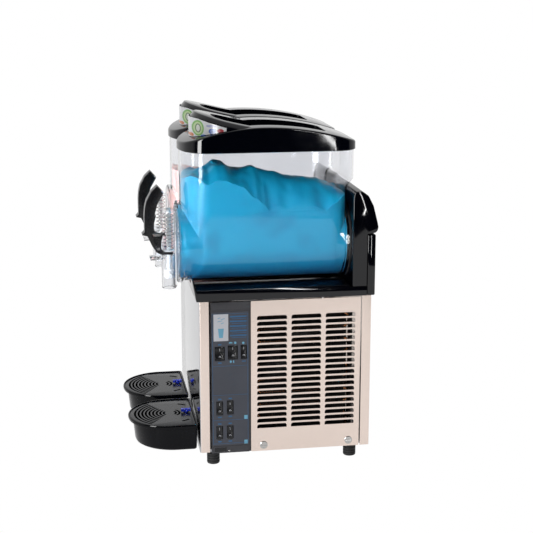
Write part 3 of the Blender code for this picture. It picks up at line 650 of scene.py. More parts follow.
def slush_ice(name, body_colour, shade_colour, shaded_bottom_colour):
    """Fine wet ice: patchy above, darkened towards the bottom by painted shade, with a grainy, glistening
    skin.
    """
    made = surface(name, body_colour, 0.4, grain=900.0, bump=0.35, depth=0.0003,
                   values={"Subsurface Weight": 0.1, "Subsurface Scale": 0.005, "IOR": 1.33})
    tree = made.node_tree
    shader = tree.nodes["Principled BSDF"]
    split = tree.nodes.new("ShaderNodeSeparateXYZ")
    tree.links.new(object_position(tree), split.inputs[0])
    drift = noise_value(tree, 16.0, detail=4.0)
    height = tree.nodes.new("ShaderNodeMath")
    height.operation = "MULTIPLY_ADD"
    tree.links.new(drift, height.inputs[0])
    height.inputs[1].default_value = 0.03
    tree.links.new(split.outputs["Z"], height.inputs[2])
    patches = remap(tree, drift, 0.52, 0.70, 0.0, 0.75)
    upper = mix_colours(tree, patches, body_colour, shade_colour)
    # Painted shade: the colour darkens towards the bottom, where the round bottom turns away from the light.
    depth = remap(tree, height.outputs[0], 0.480, 0.410, 0.0, 1.0)
    shade = mix_colours(tree, depth, upper, shaded_bottom_colour)
    tree.links.new(shade, shader.inputs["Base Color"])
    return made


def ellipse_mask(tree, centre, radii, edge=0.12):
    """1 inside an ellipse in the (y, z) plane of the piece's coordinates, 0 outside."""
    offset = tree.nodes.new("ShaderNodeVectorMath")
    offset.operation = "SUBTRACT"
    offset.inputs[1].default_value = (0.0, *centre)
    tree.links.new(object_position(tree), offset.inputs[0])
    scale = tree.nodes.new("ShaderNodeVectorMath")
    scale.operation = "MULTIPLY"
    scale.inputs[1].default_value = (0.0, 1 / radii[0], 1 / radii[1])
    tree.links.new(offset.outputs[0], scale.inputs[0])
    length = tree.nodes.new("ShaderNodeVectorMath")
    length.operation = "LENGTH"
    tree.links.new(scale.outputs[0], length.inputs[0])
    return remap(tree, length.outputs["Value"], 1.0 - edge, 1.0, 1.0, 0.0)


# Plain fruit shapes on the label: centre (y, z), radii, colour. Later shapes lie on earlier ones.
LABEL_SHAPES = [
    ((-0.1080, 0.7215), (0.0110, 0.0170), (0.22, 0.55, 0.12)),
    ((-0.1080, 0.7215), (0.0085, 0.0135), (0.62, 0.80, 0.42)),
    ((-0.1080, 0.7215), (0.0052, 0.0095), (0.10, 0.22, 0.10)),
    ((-0.1080, 0.7215), (0.0036, 0.0075), (0.85, 0.88, 0.80)),
    ((-0.0830, 0.7275), (0.0110, 0.0030), (0.45, 0.48, 0.72)),
    ((-0.0820, 0.7170), (0.0075, 0.0065), (0.02, 0.12, 0.55)),
    ((-0.0790, 0.7200), (0.0035, 0.0030), (0.08, 0.30, 0.80)),
    ((-0.0665, 0.7185), (0.0070, 0.0045), (0.55, 0.01, 0.03)),
    ((-0.0980, 0.7060), (0.0060, 0.0040), (0.10, 0.25, 0.70)),
    ((-0.1190, 0.7060), (0.0040, 0.0040), (0.75, 0.20, 0.05)),
]


@cache
def label_film():
    """White printed film with plain fruit shapes."""
    made = surface("label_film", (0.88, 0.90, 0.92), 0.25, grain=500.0, colour_spread=0.03)
    tree = made.node_tree
    shader = tree.nodes["Principled BSDF"]
    colour = shader.inputs["Base Color"].links[0].from_socket
    for centre, radii, paint in LABEL_SHAPES:
        colour = mix_colours(tree, ellipse_mask(tree, centre, radii), colour, paint)
    tree.links.new(colour, shader.inputs["Base Color"])
    return made


# ---- cabinet

def folded_sheet(name, face_y, return_y, bottom, look):
    """A front or rear panel: a face across X with a rounded fold and a flange at each side."""
    inward = 1 if return_y > face_y else -1
    outer = rounded_path([(-PANEL_X, return_y), (-PANEL_X, face_y), (PANEL_X, face_y),
                          (PANEL_X, return_y)], FOLD_RADIUS)
    inner_x = PANEL_X - SHEET
    inner_y = face_y + inward * SHEET
    inner = rounded_path([(-inner_x, return_y), (-inner_x, inner_y), (inner_x, inner_y),
                          (inner_x, return_y)], FOLD_RADIUS - SHEET)
    return smooth(prism(name, outer + inner[::-1], "Z", bottom, PANEL_TOP, look))


def inlet_block(name, half_width, half_height, front, back, look=None, bevel=0.0):
    """A block centred on the power inlet, between two distances along Y."""
    return box(name, (INLET_X - half_width, front, INLET_Z - half_height),
               (INLET_X + half_width, back, INLET_Z + half_height), look, bevel)


def make_front_and_rear_panels():
    """The front is a mirror sheet with brushed flanges; the rear is brushed, with the inlet's hole."""
    front = folded_sheet("front_sheet", FRONT_Y, FRONT_Y + RETURN_DEPTH, PANEL_BOTTOM + 0.003,
                         front_steel())
    front.data.materials.append(side_steel())
    for polygon in front.data.polygons:
        if abs(polygon.normal.x) > 0.8:
            polygon.material_index = 1
    place(front, "machine", "front_steel", "front_panel")
    rear = folded_sheet("rear_sheet", REAR_Y, REAR_Y - RETURN_DEPTH, PANEL_BOTTOM, side_steel())
    cut(rear, inlet_block("inlet_hole", 0.0145, 0.0105, 0.24, 0.26))
    place(smooth(rear), "machine", "side_steel", "rear_panel")


def louvre_outline(y, z, grow):
    """Slot with a flat bottom and rounded top corners, as (y, z), made bigger by grow."""
    half = LOUVRE_WIDTH / 2 + grow
    low = z - LOUVRE_HEIGHT / 2 - grow
    high = z + LOUVRE_HEIGHT / 2 + grow
    corners = [(y + half, low), (y + half, high), (y - half, high), (y - half, low)]
    return rounded_path(corners, LOUVRE_CORNER + grow, 4)


def louvre_cutter(sign):
    """All the slots of one side panel. Each is a little wider at the face, for a pressed edge."""
    bm = bmesh.new()
    levels = [(PANEL_X + 0.0020, 0.0012), (PANEL_X - 0.0008, 0.0), (PANEL_X - 0.0040, 0.0)]
    for column in range(LOUVRE_COLUMNS):
        for row in range(LOUVRE_ROWS):
            y = LOUVRE_FIRST_Y + LOUVRE_COLUMN_STEP * column
            z = LOUVRE_TOP_Z - LOUVRE_ROW_STEP * row
            skin_and_cap(bm, [[(sign * x, a, b) for a, b in louvre_outline(y, z, grow)]
                              for x, grow in levels])
    return mesh_object("louvre_cutter", bm)


def make_grille_panel(side, front_edge):
    """Steel side panel with rounded corners and three columns of louvre slots."""
    sign = 1 if side == "right" else -1
    rear_edge = REAR_Y - RETURN_DEPTH - PANEL_MARGIN
    height = PANEL_TOP - 0.002 - PANEL_BOTTOM
    outline = rounded_rectangle((rear_edge + front_edge) / 2, PANEL_BOTTOM + height / 2,
                                rear_edge - front_edge, height, 0.002)
    low, high = sorted((sign * (PANEL_X - SHEET), sign * PANEL_X))
    panel = prism(f"{side}_grille_sheet", outline, "X", low, high, side_steel())
    tools = [louvre_cutter(sign)]
    if side == "right":
        for y in SCREW_YS:
            tools.append(rod("screw_hole", "X", (0, y, SCREW_Z), 0.0035, 0.190, 0.205, None, 24))
    cut(panel, *tools)
    place(smooth(panel), "machine", "side_steel", f"{side}_grille_panel")


def make_panel_screws():
    """Quarter-turn screws with a domed rim and a cross recess."""
    face = HALF_WIDTH
    for name, y in zip(("panel_screw_front", "panel_screw_rear"), SCREW_YS):
        profile = [(0.0, 0.190), (0.003, 0.190), (0.003, PANEL_X + GAP), (0.0085, PANEL_X + GAP),
                   (0.0084, face - 0.0005), (0.0078, face), (0.0, face)]
        screw = turned(f"{name}_head", profile, "X", (0, y, SCREW_Z), bright_steel(), 48)
        slots = []
        for half_y, half_z in ((0.0009, 0.0060), (0.0060, 0.0009)):
            slots.append(box("screw_slot", (face - 0.0007, y - half_y, SCREW_Z - half_z),
                             (0.21, y + half_y, SCREW_Z + half_z)))
        cut(screw, *slots)
        place(smooth(screw), "machine", "screw_steel", name)


def make_feet():
    """Ribbed rubber feet."""
    profile = [(0.0, 0.0), (0.0126, 0.0), (0.0134, 0.0010)]
    ribs = 5
    pitch = (FOOT_HEIGHT - 0.006) / ribs
    for rib in range(ribs):
        low = 0.0025 + rib * pitch
        profile += [(0.0138, low), (0.0138, low + pitch * 0.6), (0.0124, low + pitch * 0.7),
                    (0.0124, low + pitch * 0.95)]
    profile += [(0.0132, FOOT_HEIGHT - 0.002), (0.0132, FOOT_HEIGHT), (0.0, FOOT_HEIGHT)]
    for end, y in (("front", -0.085), ("rear", 0.215)):
        for side, x in (("right", 0.165), ("left", -0.165)):
            foot = turned(f"rubber_foot_{end}_{side}", profile, "Z", (x, y, 0), rubber(), 48)
            place(foot, "machine", "foot_rubber", f"foot_{end}_{side}")


def make_power_inlet():
    """Mains inlet with a flange, a recessed socket and three blades."""
    face = REAR_Y + GAP
    inlet = inlet_block("inlet_body", 0.0135, 0.0095, 0.232, face + 0.003, satin_black())
    flange = inlet_block("inlet_flange", 0.0200, 0.0150, face, REAR_Y + 0.0035, None, 0.001)
    socket = inlet_block("inlet_socket", 0.0110, 0.0070, 0.238, 0.27)
    fuse(inlet, flange)
    cut(inlet, socket)
    blades = []
    for offset in (-0.0065, 0.0, 0.0065):
        x = INLET_X + offset
        blades.append(box("blade", (x - 0.0010, 0.2370, INLET_Z - 0.0030),
                          (x + 0.0010, 0.2500, INLET_Z + 0.0030), bright_steel(), 0.0003))
    join(smooth(inlet), *blades)
    place(inlet, "machine", "black_plastic", "power_inlet")


def make_condenser():
    """Thin upright fins between two end plates, and the pipe that crosses them."""
    low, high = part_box("condenser")
    end_plate = 0.0015
    fins = box("condenser_fins", low, (high.x, low.y + end_plate, high.z), fin_black())
    plates = [box("end", (low.x, high.y - end_plate, low.z), high, fin_black())]
    pitch = 0.0042
    margin = 0.012
    edge = 0.002
    for i in range(int((high.y - low.y - 2 * margin) / pitch)):
        y = low.y + margin + pitch * i
        plates.append(box("fin", (low.x + edge, y, low.z + edge),
                          (high.x - edge, y + 0.0006, high.z - edge)))
    join(fins, *plates)
    place(fins, "machine", "aluminium", "condenser")
    pipe = swept_tube("condenser_pipe", condenser_pipe_path(low, high), 0.0032, copper())
    place(pipe, "machine", "aluminium")


def condenser_pipe_path(low, high):
    """A copper pipe that runs to and fro between the end plates, with a bend at each end."""
    runs = 10
    margin = 0.015
    bend = 0.004
    x = high.x - 0.020
    ends = (low.y + 0.006, high.y - 0.006)
    step = (high.z - low.z - 2 * margin) / (runs - 1)
    path = []
    for run in range(runs):
        z = low.z + margin + step * run
        start, end = ends if run % 2 == 0 else ends[::-1]
        inward = bend if start < end else -bend
        if run > 0:
            path.append((x, start, z - bend))
        path += [(x, start + inward, z), (x, end - inward, z)]
        if run < runs - 1:
            path.append((x, end, z + bend))
    return path


# ---- control panel

def make_fascia():
    """Moulded frame of the control panel, with raised bands above and below the membrane."""
    back = 0.1950
    top = PANEL_TOP - 0.002
    fascia = box("fascia_frame", (back, FASCIA_FRONT, PANEL_BOTTOM), (MEMBRANE_X - GAP, FASCIA_REAR, top),
                 fascia_plastic())
    holes = []
    for _, y, z, width, height in ROCKERS:
        half_y = width / 2 + ROCKER_CLEARANCE / 2
        half_z = height / 2 + ROCKER_CLEARANCE
        holes.append(box("rocker_hole", (0.19, y - half_y, z - half_z), (0.21, y + half_y, z + half_z)))
    cut(fascia, *holes)
    bands = []
    for low_z, high_z in ((0.3500, top), (PANEL_BOTTOM, 0.0480)):
        bands.append(box("band", (MEMBRANE_X - 0.0010, FASCIA_FRONT, low_z), (PANEL_X, FASCIA_REAR, high_z),
                         fascia_plastic(), 0.0004))
    slot = box("band_slot", (PANEL_X - 0.0008, -0.0860, 0.0355), (PANEL_X + 0.0001, -0.0600, 0.0450),
               satin_black(), 0.0003)
    screw = rod("band_screw", "X", (0, -0.0540, 0.0370), 0.0016, PANEL_X - 0.0005, PANEL_X + 0.0004,
                bright_steel(), 20, 0.0002)
    seal = box("seam_strip", (0.1925, -0.0125, PANEL_BOTTOM), (0.1955, -0.0035, top), fascia_plastic())
    join(smooth(fascia), *bands, slot, screw, seal)
    place(fascia, "machine", "fascia_grey", "control_fascia")


def make_membrane():
    """Printed plate that covers the fascia, with a window for each rocker."""
    plate = box("fascia_membrane", (MEMBRANE_X, FASCIA_FRONT + 0.0012, 0.0500),
                (PANEL_X, FASCIA_REAR - 0.0012, 0.3435), membrane())
    windows = []
    for _, y, z, width, height in ROCKERS:
        outline = rounded_rectangle(y, z, width + 0.0010, height + 0.0010, 0.0008)
        windows.append(prism("window", outline, "X", 0.19, 0.21))
    cut(plate, *windows)
    place(smooth(plate), "machine", "fascia_grey")


def printed(name, outline, look, thickness=0.00012):
    return prism(name, outline, "X", PRINT_X - 0.0002, PRINT_X + thickness, look)


def bar(y, z, width, height, look):
    """A printed rectangle centred on (y, z)."""
    outline = [(y - width / 2, z - height / 2), (y + width / 2, z - height / 2),
               (y + width / 2, z + height / 2), (y - width / 2, z + height / 2)]
    return printed("bar", outline, look)


def spot(y, z, radius_y, radius_z, look, start=0, end=360):
    """A printed ellipse, or the part of one between two angles."""
    steps = 16
    outline = []
    for i in range(steps + (end - start < 360)):
        angle = math.radians(start + (end - start) * i / steps)
        outline.append((y + radius_y * math.cos(angle), z + radius_z * math.sin(angle)))
    return printed("spot", outline, look)


def sticker_marks():
    """White sticker with a plain picture of a glass under falling flakes."""
    y = -0.0705
    marks = [bar(y, 0.3100, 0.0310, 0.0580, white_print_and_highlight())]
    blue = print_pale()
    layer = 0.00022
    for dy, z, width, height in ((-0.004, 0.3290, 0.006, 0.0012), (0.004, 0.3270, 0.008, 0.0012),
                                 (-0.002, 0.3225, 0.010, 0.0012), (0.003, 0.3180, 0.006, 0.0012)):
        outline = [(y + dy - width / 2, z), (y + dy + width / 2, z + 0.002),
                   (y + dy + width / 2, z + 0.002 + height), (y + dy - width / 2, z + height)]
        marks.append(printed("flake", outline, blue, layer))
    glass = [(y - 0.0040, 0.2880), (y + 0.0040, 0.2880), (y + 0.0062, 0.3080), (y - 0.0062, 0.3080)]
    marks.append(printed("glass", glass, blue, layer))
    return marks


def icon_marks():
    """Plain symbols above and below the switches."""
    marks = []
    rise = 0.0190
    for name, y, z, _, _ in ROCKERS:
        above = z + rise + 0.0010
        below = z - rise - 0.0010
        if name == "switch_mixer":
            marks.append(spot(y - 0.0045, above, 0.0040, 0.0030, print_pale(), 0, 180))
            marks.append(spot(y + 0.0050, above + 0.0010, 0.0024, 0.0028, print_pale()))
            marks.append(spot(y - 0.0045, below, 0.0020, 0.0028, print_pale()))
            marks.append(spot(y + 0.0025, below, 0.0022, 0.0034, print_pale(), 90, 270))
        elif name == "switch_light":
            marks.append(spot(y - 0.0010, above, 0.0026, 0.0026, print_pale()))
            marks.append(bar(y, below, 0.0080, 0.0022, print_blue()))
        else:
            marks.append(bar(y, above, 0.0070, 0.0030, print_blue()))
            marks.append(bar(y, below, 0.0075, 0.0026, print_blue()))
    for z in (0.1110, 0.0555):
        marks.append(bar(-0.0186, z, 0.0072, 0.0085, print_pale()))
    return marks


def line_marks():
    """Border lines, section lines and rows of plain dashes in place of text."""
    blue = print_blue()
    middle = (FASCIA_FRONT + FASCIA_REAR) / 2
    marks = []
    for y in (FASCIA_FRONT + 0.0030, FASCIA_REAR - 0.0030):
        marks.append(bar(y, 0.1967, 0.0007, 0.2860, blue))
    for z in (0.0540, 0.1065, 0.1622, 0.2262, 0.3395):
        marks.append(bar(middle, z, 0.0740, 0.0006, blue))
    for pair in range(5):
        z = 0.3330 - 0.0102 * pair
        marks.append(bar(-0.0340, z, 0.0350, 0.0034, blue))
        marks.append(bar(-0.0325, z - 0.0046, 0.0310, 0.0010, print_blue()))
    return marks


def make_prints():
    marks = line_marks() + icon_marks() + sticker_marks()
    first, *others = marks
    first.name = "fascia_print"
    join(first, *others)
    place(first, "machine", "fascia_grey")


def rocker_point(z, depth, rise):
    """A point of a rocker's profile, turned to its rest tilt, as (x, z)."""
    x = ROCKER_AXIS_X + depth * math.cos(ROCKER_TILT) - rise * math.sin(ROCKER_TILT)
    return (x, z + rise * math.cos(ROCKER_TILT) + depth * math.sin(ROCKER_TILT))


def make_rockers():
    """Dished rocker switches with an upright bar above and a ring below."""
    for name, y, z, width, height in ROCKERS:
        half = height / 2
        profile = [(-0.0030, -half * 0.7), (0.0050, -half), (0.0042, -half * 0.5), (0.0036, 0.0),
                   (0.0042, half * 0.5), (0.0050, half), (-0.0030, half * 0.7)]
        outline = [rocker_point(z, depth, rise) for depth, rise in profile]
        cap = prism(f"{name}_cap", outline, "Y", y - width / 2, y + width / 2, satin_black())
        bevelled(cap, 0.0006, 2, 40)
        marks = []
        up = [rocker_point(z, depth, rise) for depth, rise in
              ((0.0036, 0.0045), (0.00445, 0.0045), (0.0048, 0.0100), (0.0036, 0.0100))]
        marks.append(prism("mark_on", up, "Y", y - 0.0004, y + 0.0004, white_print_and_highlight()))
        x, centre_z = rocker_point(z, 0.0044, -0.0078)
        marks.append(tube("mark_off", "X", (0, y, centre_z), 0.0013, 0.0021, x - 0.0012, x + 0.0001,
                          white_print_and_highlight(), 20))
        join(cap, *marks)
        place(cap, f"{name}_body", "rocker_black", name)


# ---- deck and tower

def axis_rod(name, x, radius, front, back):
    """A round bar on a bowl's axis, to cut or to fill with."""
    return rod(name, "Y", (x, 0, BOWL_AXIS_Z), radius, front, back, None, 96)


def make_deck():
    """Glossy top cover with a raised front lip and a cradle for each bowl."""
    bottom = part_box("deck")[0].z
    outline = [(-0.1210, bottom), (-0.1287, DECK_LIP_Z), (-0.1255, DECK_LIP_Z), (-0.1190, DECK_TOP_Z),
               (TOWER_FRONT_Y - 0.008, DECK_TOP_Z), (TOWER_FRONT_Y - 0.004, 0.3865),
               (TOWER_SEAM_Y, 0.3865), (TOWER_SEAM_Y, bottom)]
    deck = prism("deck_cover", outline, "X", -HALF_WIDTH, HALF_WIDTH, gloss_black())
    bevelled(deck, 0.0014, 4)
    inside = box("deck_inside", (-0.196, -0.114, 0.35), (0.196, 0.196, 0.3835))
    cradles = [axis_rod("cradle", x, 0.0890, -0.16, 0.2050) for x in SIDES.values()]
    cut(deck, inside, *cradles)
    place(smooth(deck), "machine", "gloss_black", "deck")


def tower_profile(inset):
    """Side outline of the tower and its rear hood, as (y, z)."""
    front = TOWER_FRONT_Y + inset
    top = TOWER_TOP_Z - inset
    return [
        (front, TOWER_FOOT_Z - inset * 4), (front, 0.5750), (front + 0.0012, 0.5820 - inset * 0.4),
        (front + 0.0045, top), (0.2274, top), (0.2404 - inset * 0.6, 0.5795 - inset * 0.8),
        (0.2515 - inset, 0.5580), (0.2608 - inset, 0.5217), (0.2625 - inset, 0.5130),
        (0.2610 - inset, 0.5060), (0.2568 - inset, 0.5010 - inset), (TOWER_SEAM_Y - GAP, 0.4985 - inset),
        (TOWER_SEAM_Y - GAP, TOWER_FOOT_Z - inset * 4),
    ]


def make_tower():
    """Hollow tower behind the bowls, with a rounded hood over the rear cover."""
    tower = prism("tower_shell", tower_profile(0.0), "X", -HALF_WIDTH, HALF_WIDTH, gloss_black())
    bevelled(tower, 0.0022, 4, 12)
    inner_half = HALF_WIDTH - COVER_WALL
    inside = prism("tower_inside", tower_profile(COVER_WALL), "X", -inner_half, inner_half)
    rear_opening = box("tower_opening", (-0.197, 0.236, 0.38), (0.197, 0.245, 0.4970))
    holes = [rod("shaft_hole", "Y", (x, 0, BOWL_AXIS_Z), 0.0075, 0.20, 0.22) for x in SIDES.values()]
    cut(tower, inside, rear_opening, *holes)
    place(smooth(tower), "machine", "gloss_black", "tower")


def make_rear_cover():
    """Shallow black cover below the hood, open towards the tower."""
    low = (-HALF_WIDTH, TOWER_SEAM_Y + GAP, PANEL_TOP + GAP)
    high = (HALF_WIDTH, REAR_COVER_Y, REAR_COVER_TOP_Z)
    cover = box("rear_cover_shell", low, high, gloss_black(), 0.0025)
    inside = box("cover_inside", (low[0] + COVER_WALL, low[1] - 0.01, low[2] + COVER_WALL),
                 [edge - COVER_WALL for edge in high])
    cut(cover, inside)
    place(smooth(cover), "machine", "gloss_black", "rear_cover")


# ---- bowls and slush

def bowl_ring(x_mid, z, inset, detail=10):
    """Plan ring of the bowl at height z, drawn in by the wall thickness."""
    if z < BOWL_AXIS_Z:
        drop = BOWL_AXIS_Z - z
        radius = BOWL_RADIUS - inset
        half = math.sqrt(max(radius * radius - drop * drop, 1e-5))
    else:
        share = (z - BOWL_AXIS_Z) / (BOWL_RIM_Z - BOWL_AXIS_Z)
        half = BOWL_RADIUS + (BOWL_RIM_HALF - BOWL_RADIUS) * share - inset
    over_tower = eased((z - SHOULDER_Z) / SHOULDER_RISE)
    rear = BOWL_REAR_Y + (BOWL_REAR_TOP_Y - BOWL_REAR_Y) * over_tower - inset
    front = BOWL_FRONT_Y + inset
    scale = half / BOWL_RIM_HALF
    corner = 0.040 * scale
    outline = half_outline(half, front, rear, 0.16 * max(scale, 0.5), corner, corner, detail)
    return [(x, y, z) for x, y in full_outline(x_mid, outline)]


def bowl_levels(inset):
    """Heights of the bowl's rings, closer together where the round bottom turns."""
    levels = []
    for degrees in range(80, 0, -8):
        levels.append(BOWL_AXIS_Z - (BOWL_RADIUS - inset) * math.sin(math.radians(degrees)))
    shoulder = [SHOULDER_Z + SHOULDER_RISE * step / 5 for step in range(6)]
    return levels + [BOWL_AXIS_Z, 0.535, *shoulder, 0.645, BOWL_RIM_Z]


def bowl_inside(x, inset, top):
    """The bowl's inner space, drawn in from the outer face by inset and open to a height of top."""
    rings = [bowl_ring(x, z, inset) for z in bowl_levels(inset)]
    rings[-1] = [(a, b, top) for a, b, _ in rings[-1]]
    return capped_loft("bowl_space", rings)


def make_bowl(side, x):
    """Clear bowl: round below, square above, with a round opening behind for the drum."""
    bowl = capped_loft(f"{side}_clear_bowl", [bowl_ring(x, z, 0.0) for z in bowl_levels(0.0)],
                       clear_plastic())
    centre = (x, 0, BOWL_AXIS_Z)
    neck = BOWL_RADIUS - 0.002
    back = -0.095
    disc_profile = [(0.0, FRONT_DISC_Y), (FRONT_DISC_RADIUS - 0.002, FRONT_DISC_Y),
                    (FRONT_DISC_RADIUS, FRONT_DISC_Y + 0.002), (FRONT_DISC_RADIUS, -0.1430),
                    (neck, -0.1400), (neck, back), (0.0, back)]
    disc = turned("front_disc", disc_profile, "Y", centre, None, 96)
    ring_profile = [(0.0, 0.1600), (neck, 0.1600), (neck, 0.1940), (0.0865, 0.1965), (0.0865, BOWL_RING_Y),
                    (0.0, BOWL_RING_Y)]
    rear_ring = turned("rear_ring", ring_profile, "Y", centre, None, 96)
    inside = bowl_inside(x, BOWL_WALL, 0.70)
    disc_inside = axis_rod("disc_inside", x, neck - BOWL_WALL - 0.001, FRONT_DISC_Y + BOWL_WALL,
                           back + 0.005)
    opening = axis_rod("rear_opening", x, REAR_OPENING_RADIUS, 0.15, 0.22)
    outlet = rod("tap_port", "Y", (x, 0, 0.415), 0.009, -0.16, -0.14, None, 24)
    fuse(bowl, disc, rear_ring)
    fuse(inside, disc_inside, opening, outlet)
    cut(bowl, inside)
    place(smooth(bowl), f"{side}_bowl_body", "clear_plastic", f"{side}_bowl")


# Height of the slush along Y, for each bowl: in the middle, and where it meets the side walls.
SLUSH_CREST = {
    "right": [(-0.150, 0.612), (-0.115, 0.622), (-0.092, 0.631), (-0.070, 0.644), (-0.055, 0.643),
              (-0.034, 0.630), (-0.012, 0.632), (0.008, 0.635), (0.024, 0.628), (0.050, 0.620),
              (0.080, 0.611), (0.114, 0.608), (0.146, 0.604), (0.170, 0.594), (0.205, 0.578)],
    "left": [(-0.150, 0.606), (-0.100, 0.598), (-0.050, 0.588), (0.000, 0.578), (0.050, 0.568),
             (0.100, 0.556), (0.205, 0.545)],
}
SLUSH_EDGE = {
    "right": [(-0.150, 0.640), (-0.138, 0.634), (-0.119, 0.624), (-0.093, 0.608), (-0.072, 0.617),
              (-0.057, 0.616), (-0.040, 0.608), (-0.024, 0.602), (0.006, 0.574), (0.024, 0.558),
              (0.035, 0.540), (0.052, 0.550), (0.070, 0.545), (0.090, 0.552), (0.129, 0.553),
              (0.150, 0.541), (0.172, 0.560), (0.205, 0.585)],
    "left": [(-0.150, 0.604), (-0.080, 0.590), (0.000, 0.570), (0.100, 0.552), (0.205, 0.545)],
}


def interpolate(table, y):
    """Smooth value from a short (y, value) table."""
    if y <= table[0][0]:
        return table[0][1]
    for (y0, z0), (y1, z1) in zip(table, table[1:]):
        if y <= y1:
            return z0 + (z1 - z0) * eased((y - y0) / (y1 - y0))
    return table[-1][1]


def slush_height(side, local_x, y):
    """Top of the slush: higher in the middle than at the walls, with soft folds."""
    across = min(abs(local_x) / 0.088, 1.0)
    share = 1 - across ** 2.4
    height = interpolate(SLUSH_EDGE[side], y) * (1 - share) + interpolate(SLUSH_CREST[side], y) * share
    seed = 0.0 if side == "right" else 5.0
    folds = noise.noise(Vector((local_x * 24, y * 24, seed))) * 0.0045
    folds += noise.noise(Vector((local_x * 60, y * 60, seed + 9))) * 0.0018
    return height + folds * min(share * 2.0, 1.0)


def slush_cover(side, x):
    """A block with the slush's top surface, used to trim the bowl's inner space."""
    columns = 44
    rows = 110
    low_y = -0.16
    high_y = 0.215
    half = 0.098
    bottom_z = 0.36
    bm = bmesh.new()
    layers = []
    for is_top in (False, True):
        grid = []
        for row in range(rows + 1):
            y = low_y + (high_y - low_y) * row / rows
            line = []
            for column in range(columns + 1):
                local_x = -half + 2 * half * column / columns
                z = slush_height(side, local_x, y) if is_top else bottom_z
                line.append(bm.verts.new((x + local_x, y, z)))
            grid.append(line)
        layers.append(grid)
    for grid in layers:
        for row in range(rows):
            for column in range(columns):
                bm.faces.new((grid[row][column], grid[row][column + 1],
                              grid[row + 1][column + 1], grid[row + 1][column]))
    bottom, top = layers
    for row in range(rows):
        for edge in (0, columns):
            bm.faces.new((bottom[row][edge], bottom[row + 1][edge], top[row + 1][edge], top[row][edge]))
    for column in range(columns):
        for edge in (0, rows):
            bm.faces.new((bottom[edge][column], bottom[edge][column + 1],
                          top[edge][column + 1], top[edge][column]))
    return mesh_object("slush_cover", bm)


def make_slush(side, x, look):
    """Slush that fills the bowl up to its top surface, with a tunnel for the drum and auger."""
    inset = BOWL_WALL + SLUSH_GAP
    slush = bowl_inside(x, inset, BOWL_RIM_Z)
    slush.name = f"{side}_slush"
    slush.data.materials.append(look)
    front = axis_rod("slush_front", x, 0.0777, FRONT_DISC_Y + inset, -0.09)
    rear = axis_rod("slush_rear", x, REAR_OPENING_RADIUS - SLUSH_GAP, 0.150, 0.2000)
    fuse(slush, front, rear)
    boolean(slush, "INTERSECT", slush_cover(side, x))
    cut(slush, axis_rod("tunnel", x, TUNNEL_RADIUS, -0.1275, 0.23))
    place(smooth(slush, 40), f"{side}_bowl_body", None)


# ---- lids

def lid_arch(y):
    """Height of the lid's upper side edge along Y."""
    rise = 1.19 if y < 0.024 else 0.87
    return 0.7246 - rise * (y - 0.024) ** 2


def lid_outline(x_mid, inset):
    half = half_outline(BOWL_RIM_HALF + 0.0012 - inset, BOWL_FRONT_Y - 0.0031 + inset,
                        BOWL_REAR_TOP_Y + 0.0030 - inset, 0.16, 0.040, 0.040, 10, 24)
    return full_outline(x_mid, half)


def visor_outline(x_mid, inset):
    """The raised front of the lid: a deep bow across the width, merging into the sides."""
    half = half_outline(0.0900 - inset, -0.1210 + inset, 0.0500 - inset, 0.105, 0.060, 0.010, 10, 8)
    return full_outline(x_mid, half)


def visor_crest(y):
    """Height of the visor's top edge along Y."""
    share = min(max((y + 0.110) / 0.115, 0.0), 1.0)
    return LID_TOP_Z - (LID_TOP_Z - 0.7225) * share * (1.25 - 0.25 * share)


def visor_shoulder(y):
    """Height where the label ends and the visor's sloping black edge starts."""
    root = lid_arch(y) - VISOR_ROOT
    crest = visor_crest(y)
    return max(crest - 0.0098, root + (crest - root) * 0.3)


def lid_rings(x):
    """Rings of the lid's body: a small lower edge, a straight side and a rounded top edge."""
    rounding = 0.0040
    base = BOWL_RIM_Z + GAP
    rings = [[(a, b, base) for a, b in lid_outline(x, 0.0010)],
             [(a, b, base + 0.0010) for a, b in lid_outline(x, 0.0)]]
    for degrees in range(0, 91, 18):
        angle = math.radians(degrees)
        inset = rounding * (1 - math.cos(angle))
        drop = rounding * (1 - math.sin(angle))
        rings.append([(a, b, lid_arch(b) - drop) for a, b in lid_outline(x, inset)])
    return rings


def make_lid(side, x):
    """Arched black lid with a raised visor in front and a shallow recess in its top."""
    lid = capped_loft(f"{side}_lid_shell", lid_rings(x), lid_black())
    visor = capped_loft("visor", [
        [(a, b, lid_arch(b) - VISOR_ROOT) for a, b in visor_outline(x, 0.0)],
        [(a, b, visor_shoulder(b)) for a, b in visor_outline(x, 0.0030)],
        [(a, b, visor_shoulder(b) + 0.0006) for a, b in visor_outline(x, 0.0034)],
        [(a, b, visor_crest(b) - 0.0012) for a, b in visor_outline(x, 0.0100)],
        [(a, b, visor_crest(b)) for a, b in visor_outline(x, 0.0125)],
    ])
    recess = full_outline(x, half_outline(0.050, -0.075, 0.160, 0.30, 0.030, 0.010, 10, 16))
    recess_tool = capped_loft("lid_recess", [
        [(a, b, lid_arch(b) - 0.010) for a, b in recess],
        [(a, b, 0.78) for a, b in recess],
    ])
    hollow = capped_loft("lid_hollow", [
        [(a, b, 0.66) for a, b in lid_outline(x, 0.0045)],
        [(a, b, lid_arch(b) - 0.013) for a, b in lid_outline(x, 0.0065)],
    ])
    fuse(lid, visor)
    cut(lid, recess_tool, hollow)
    place(smooth(lid), f"{side}_lid_body", "gloss_black", f"{side}_lid")


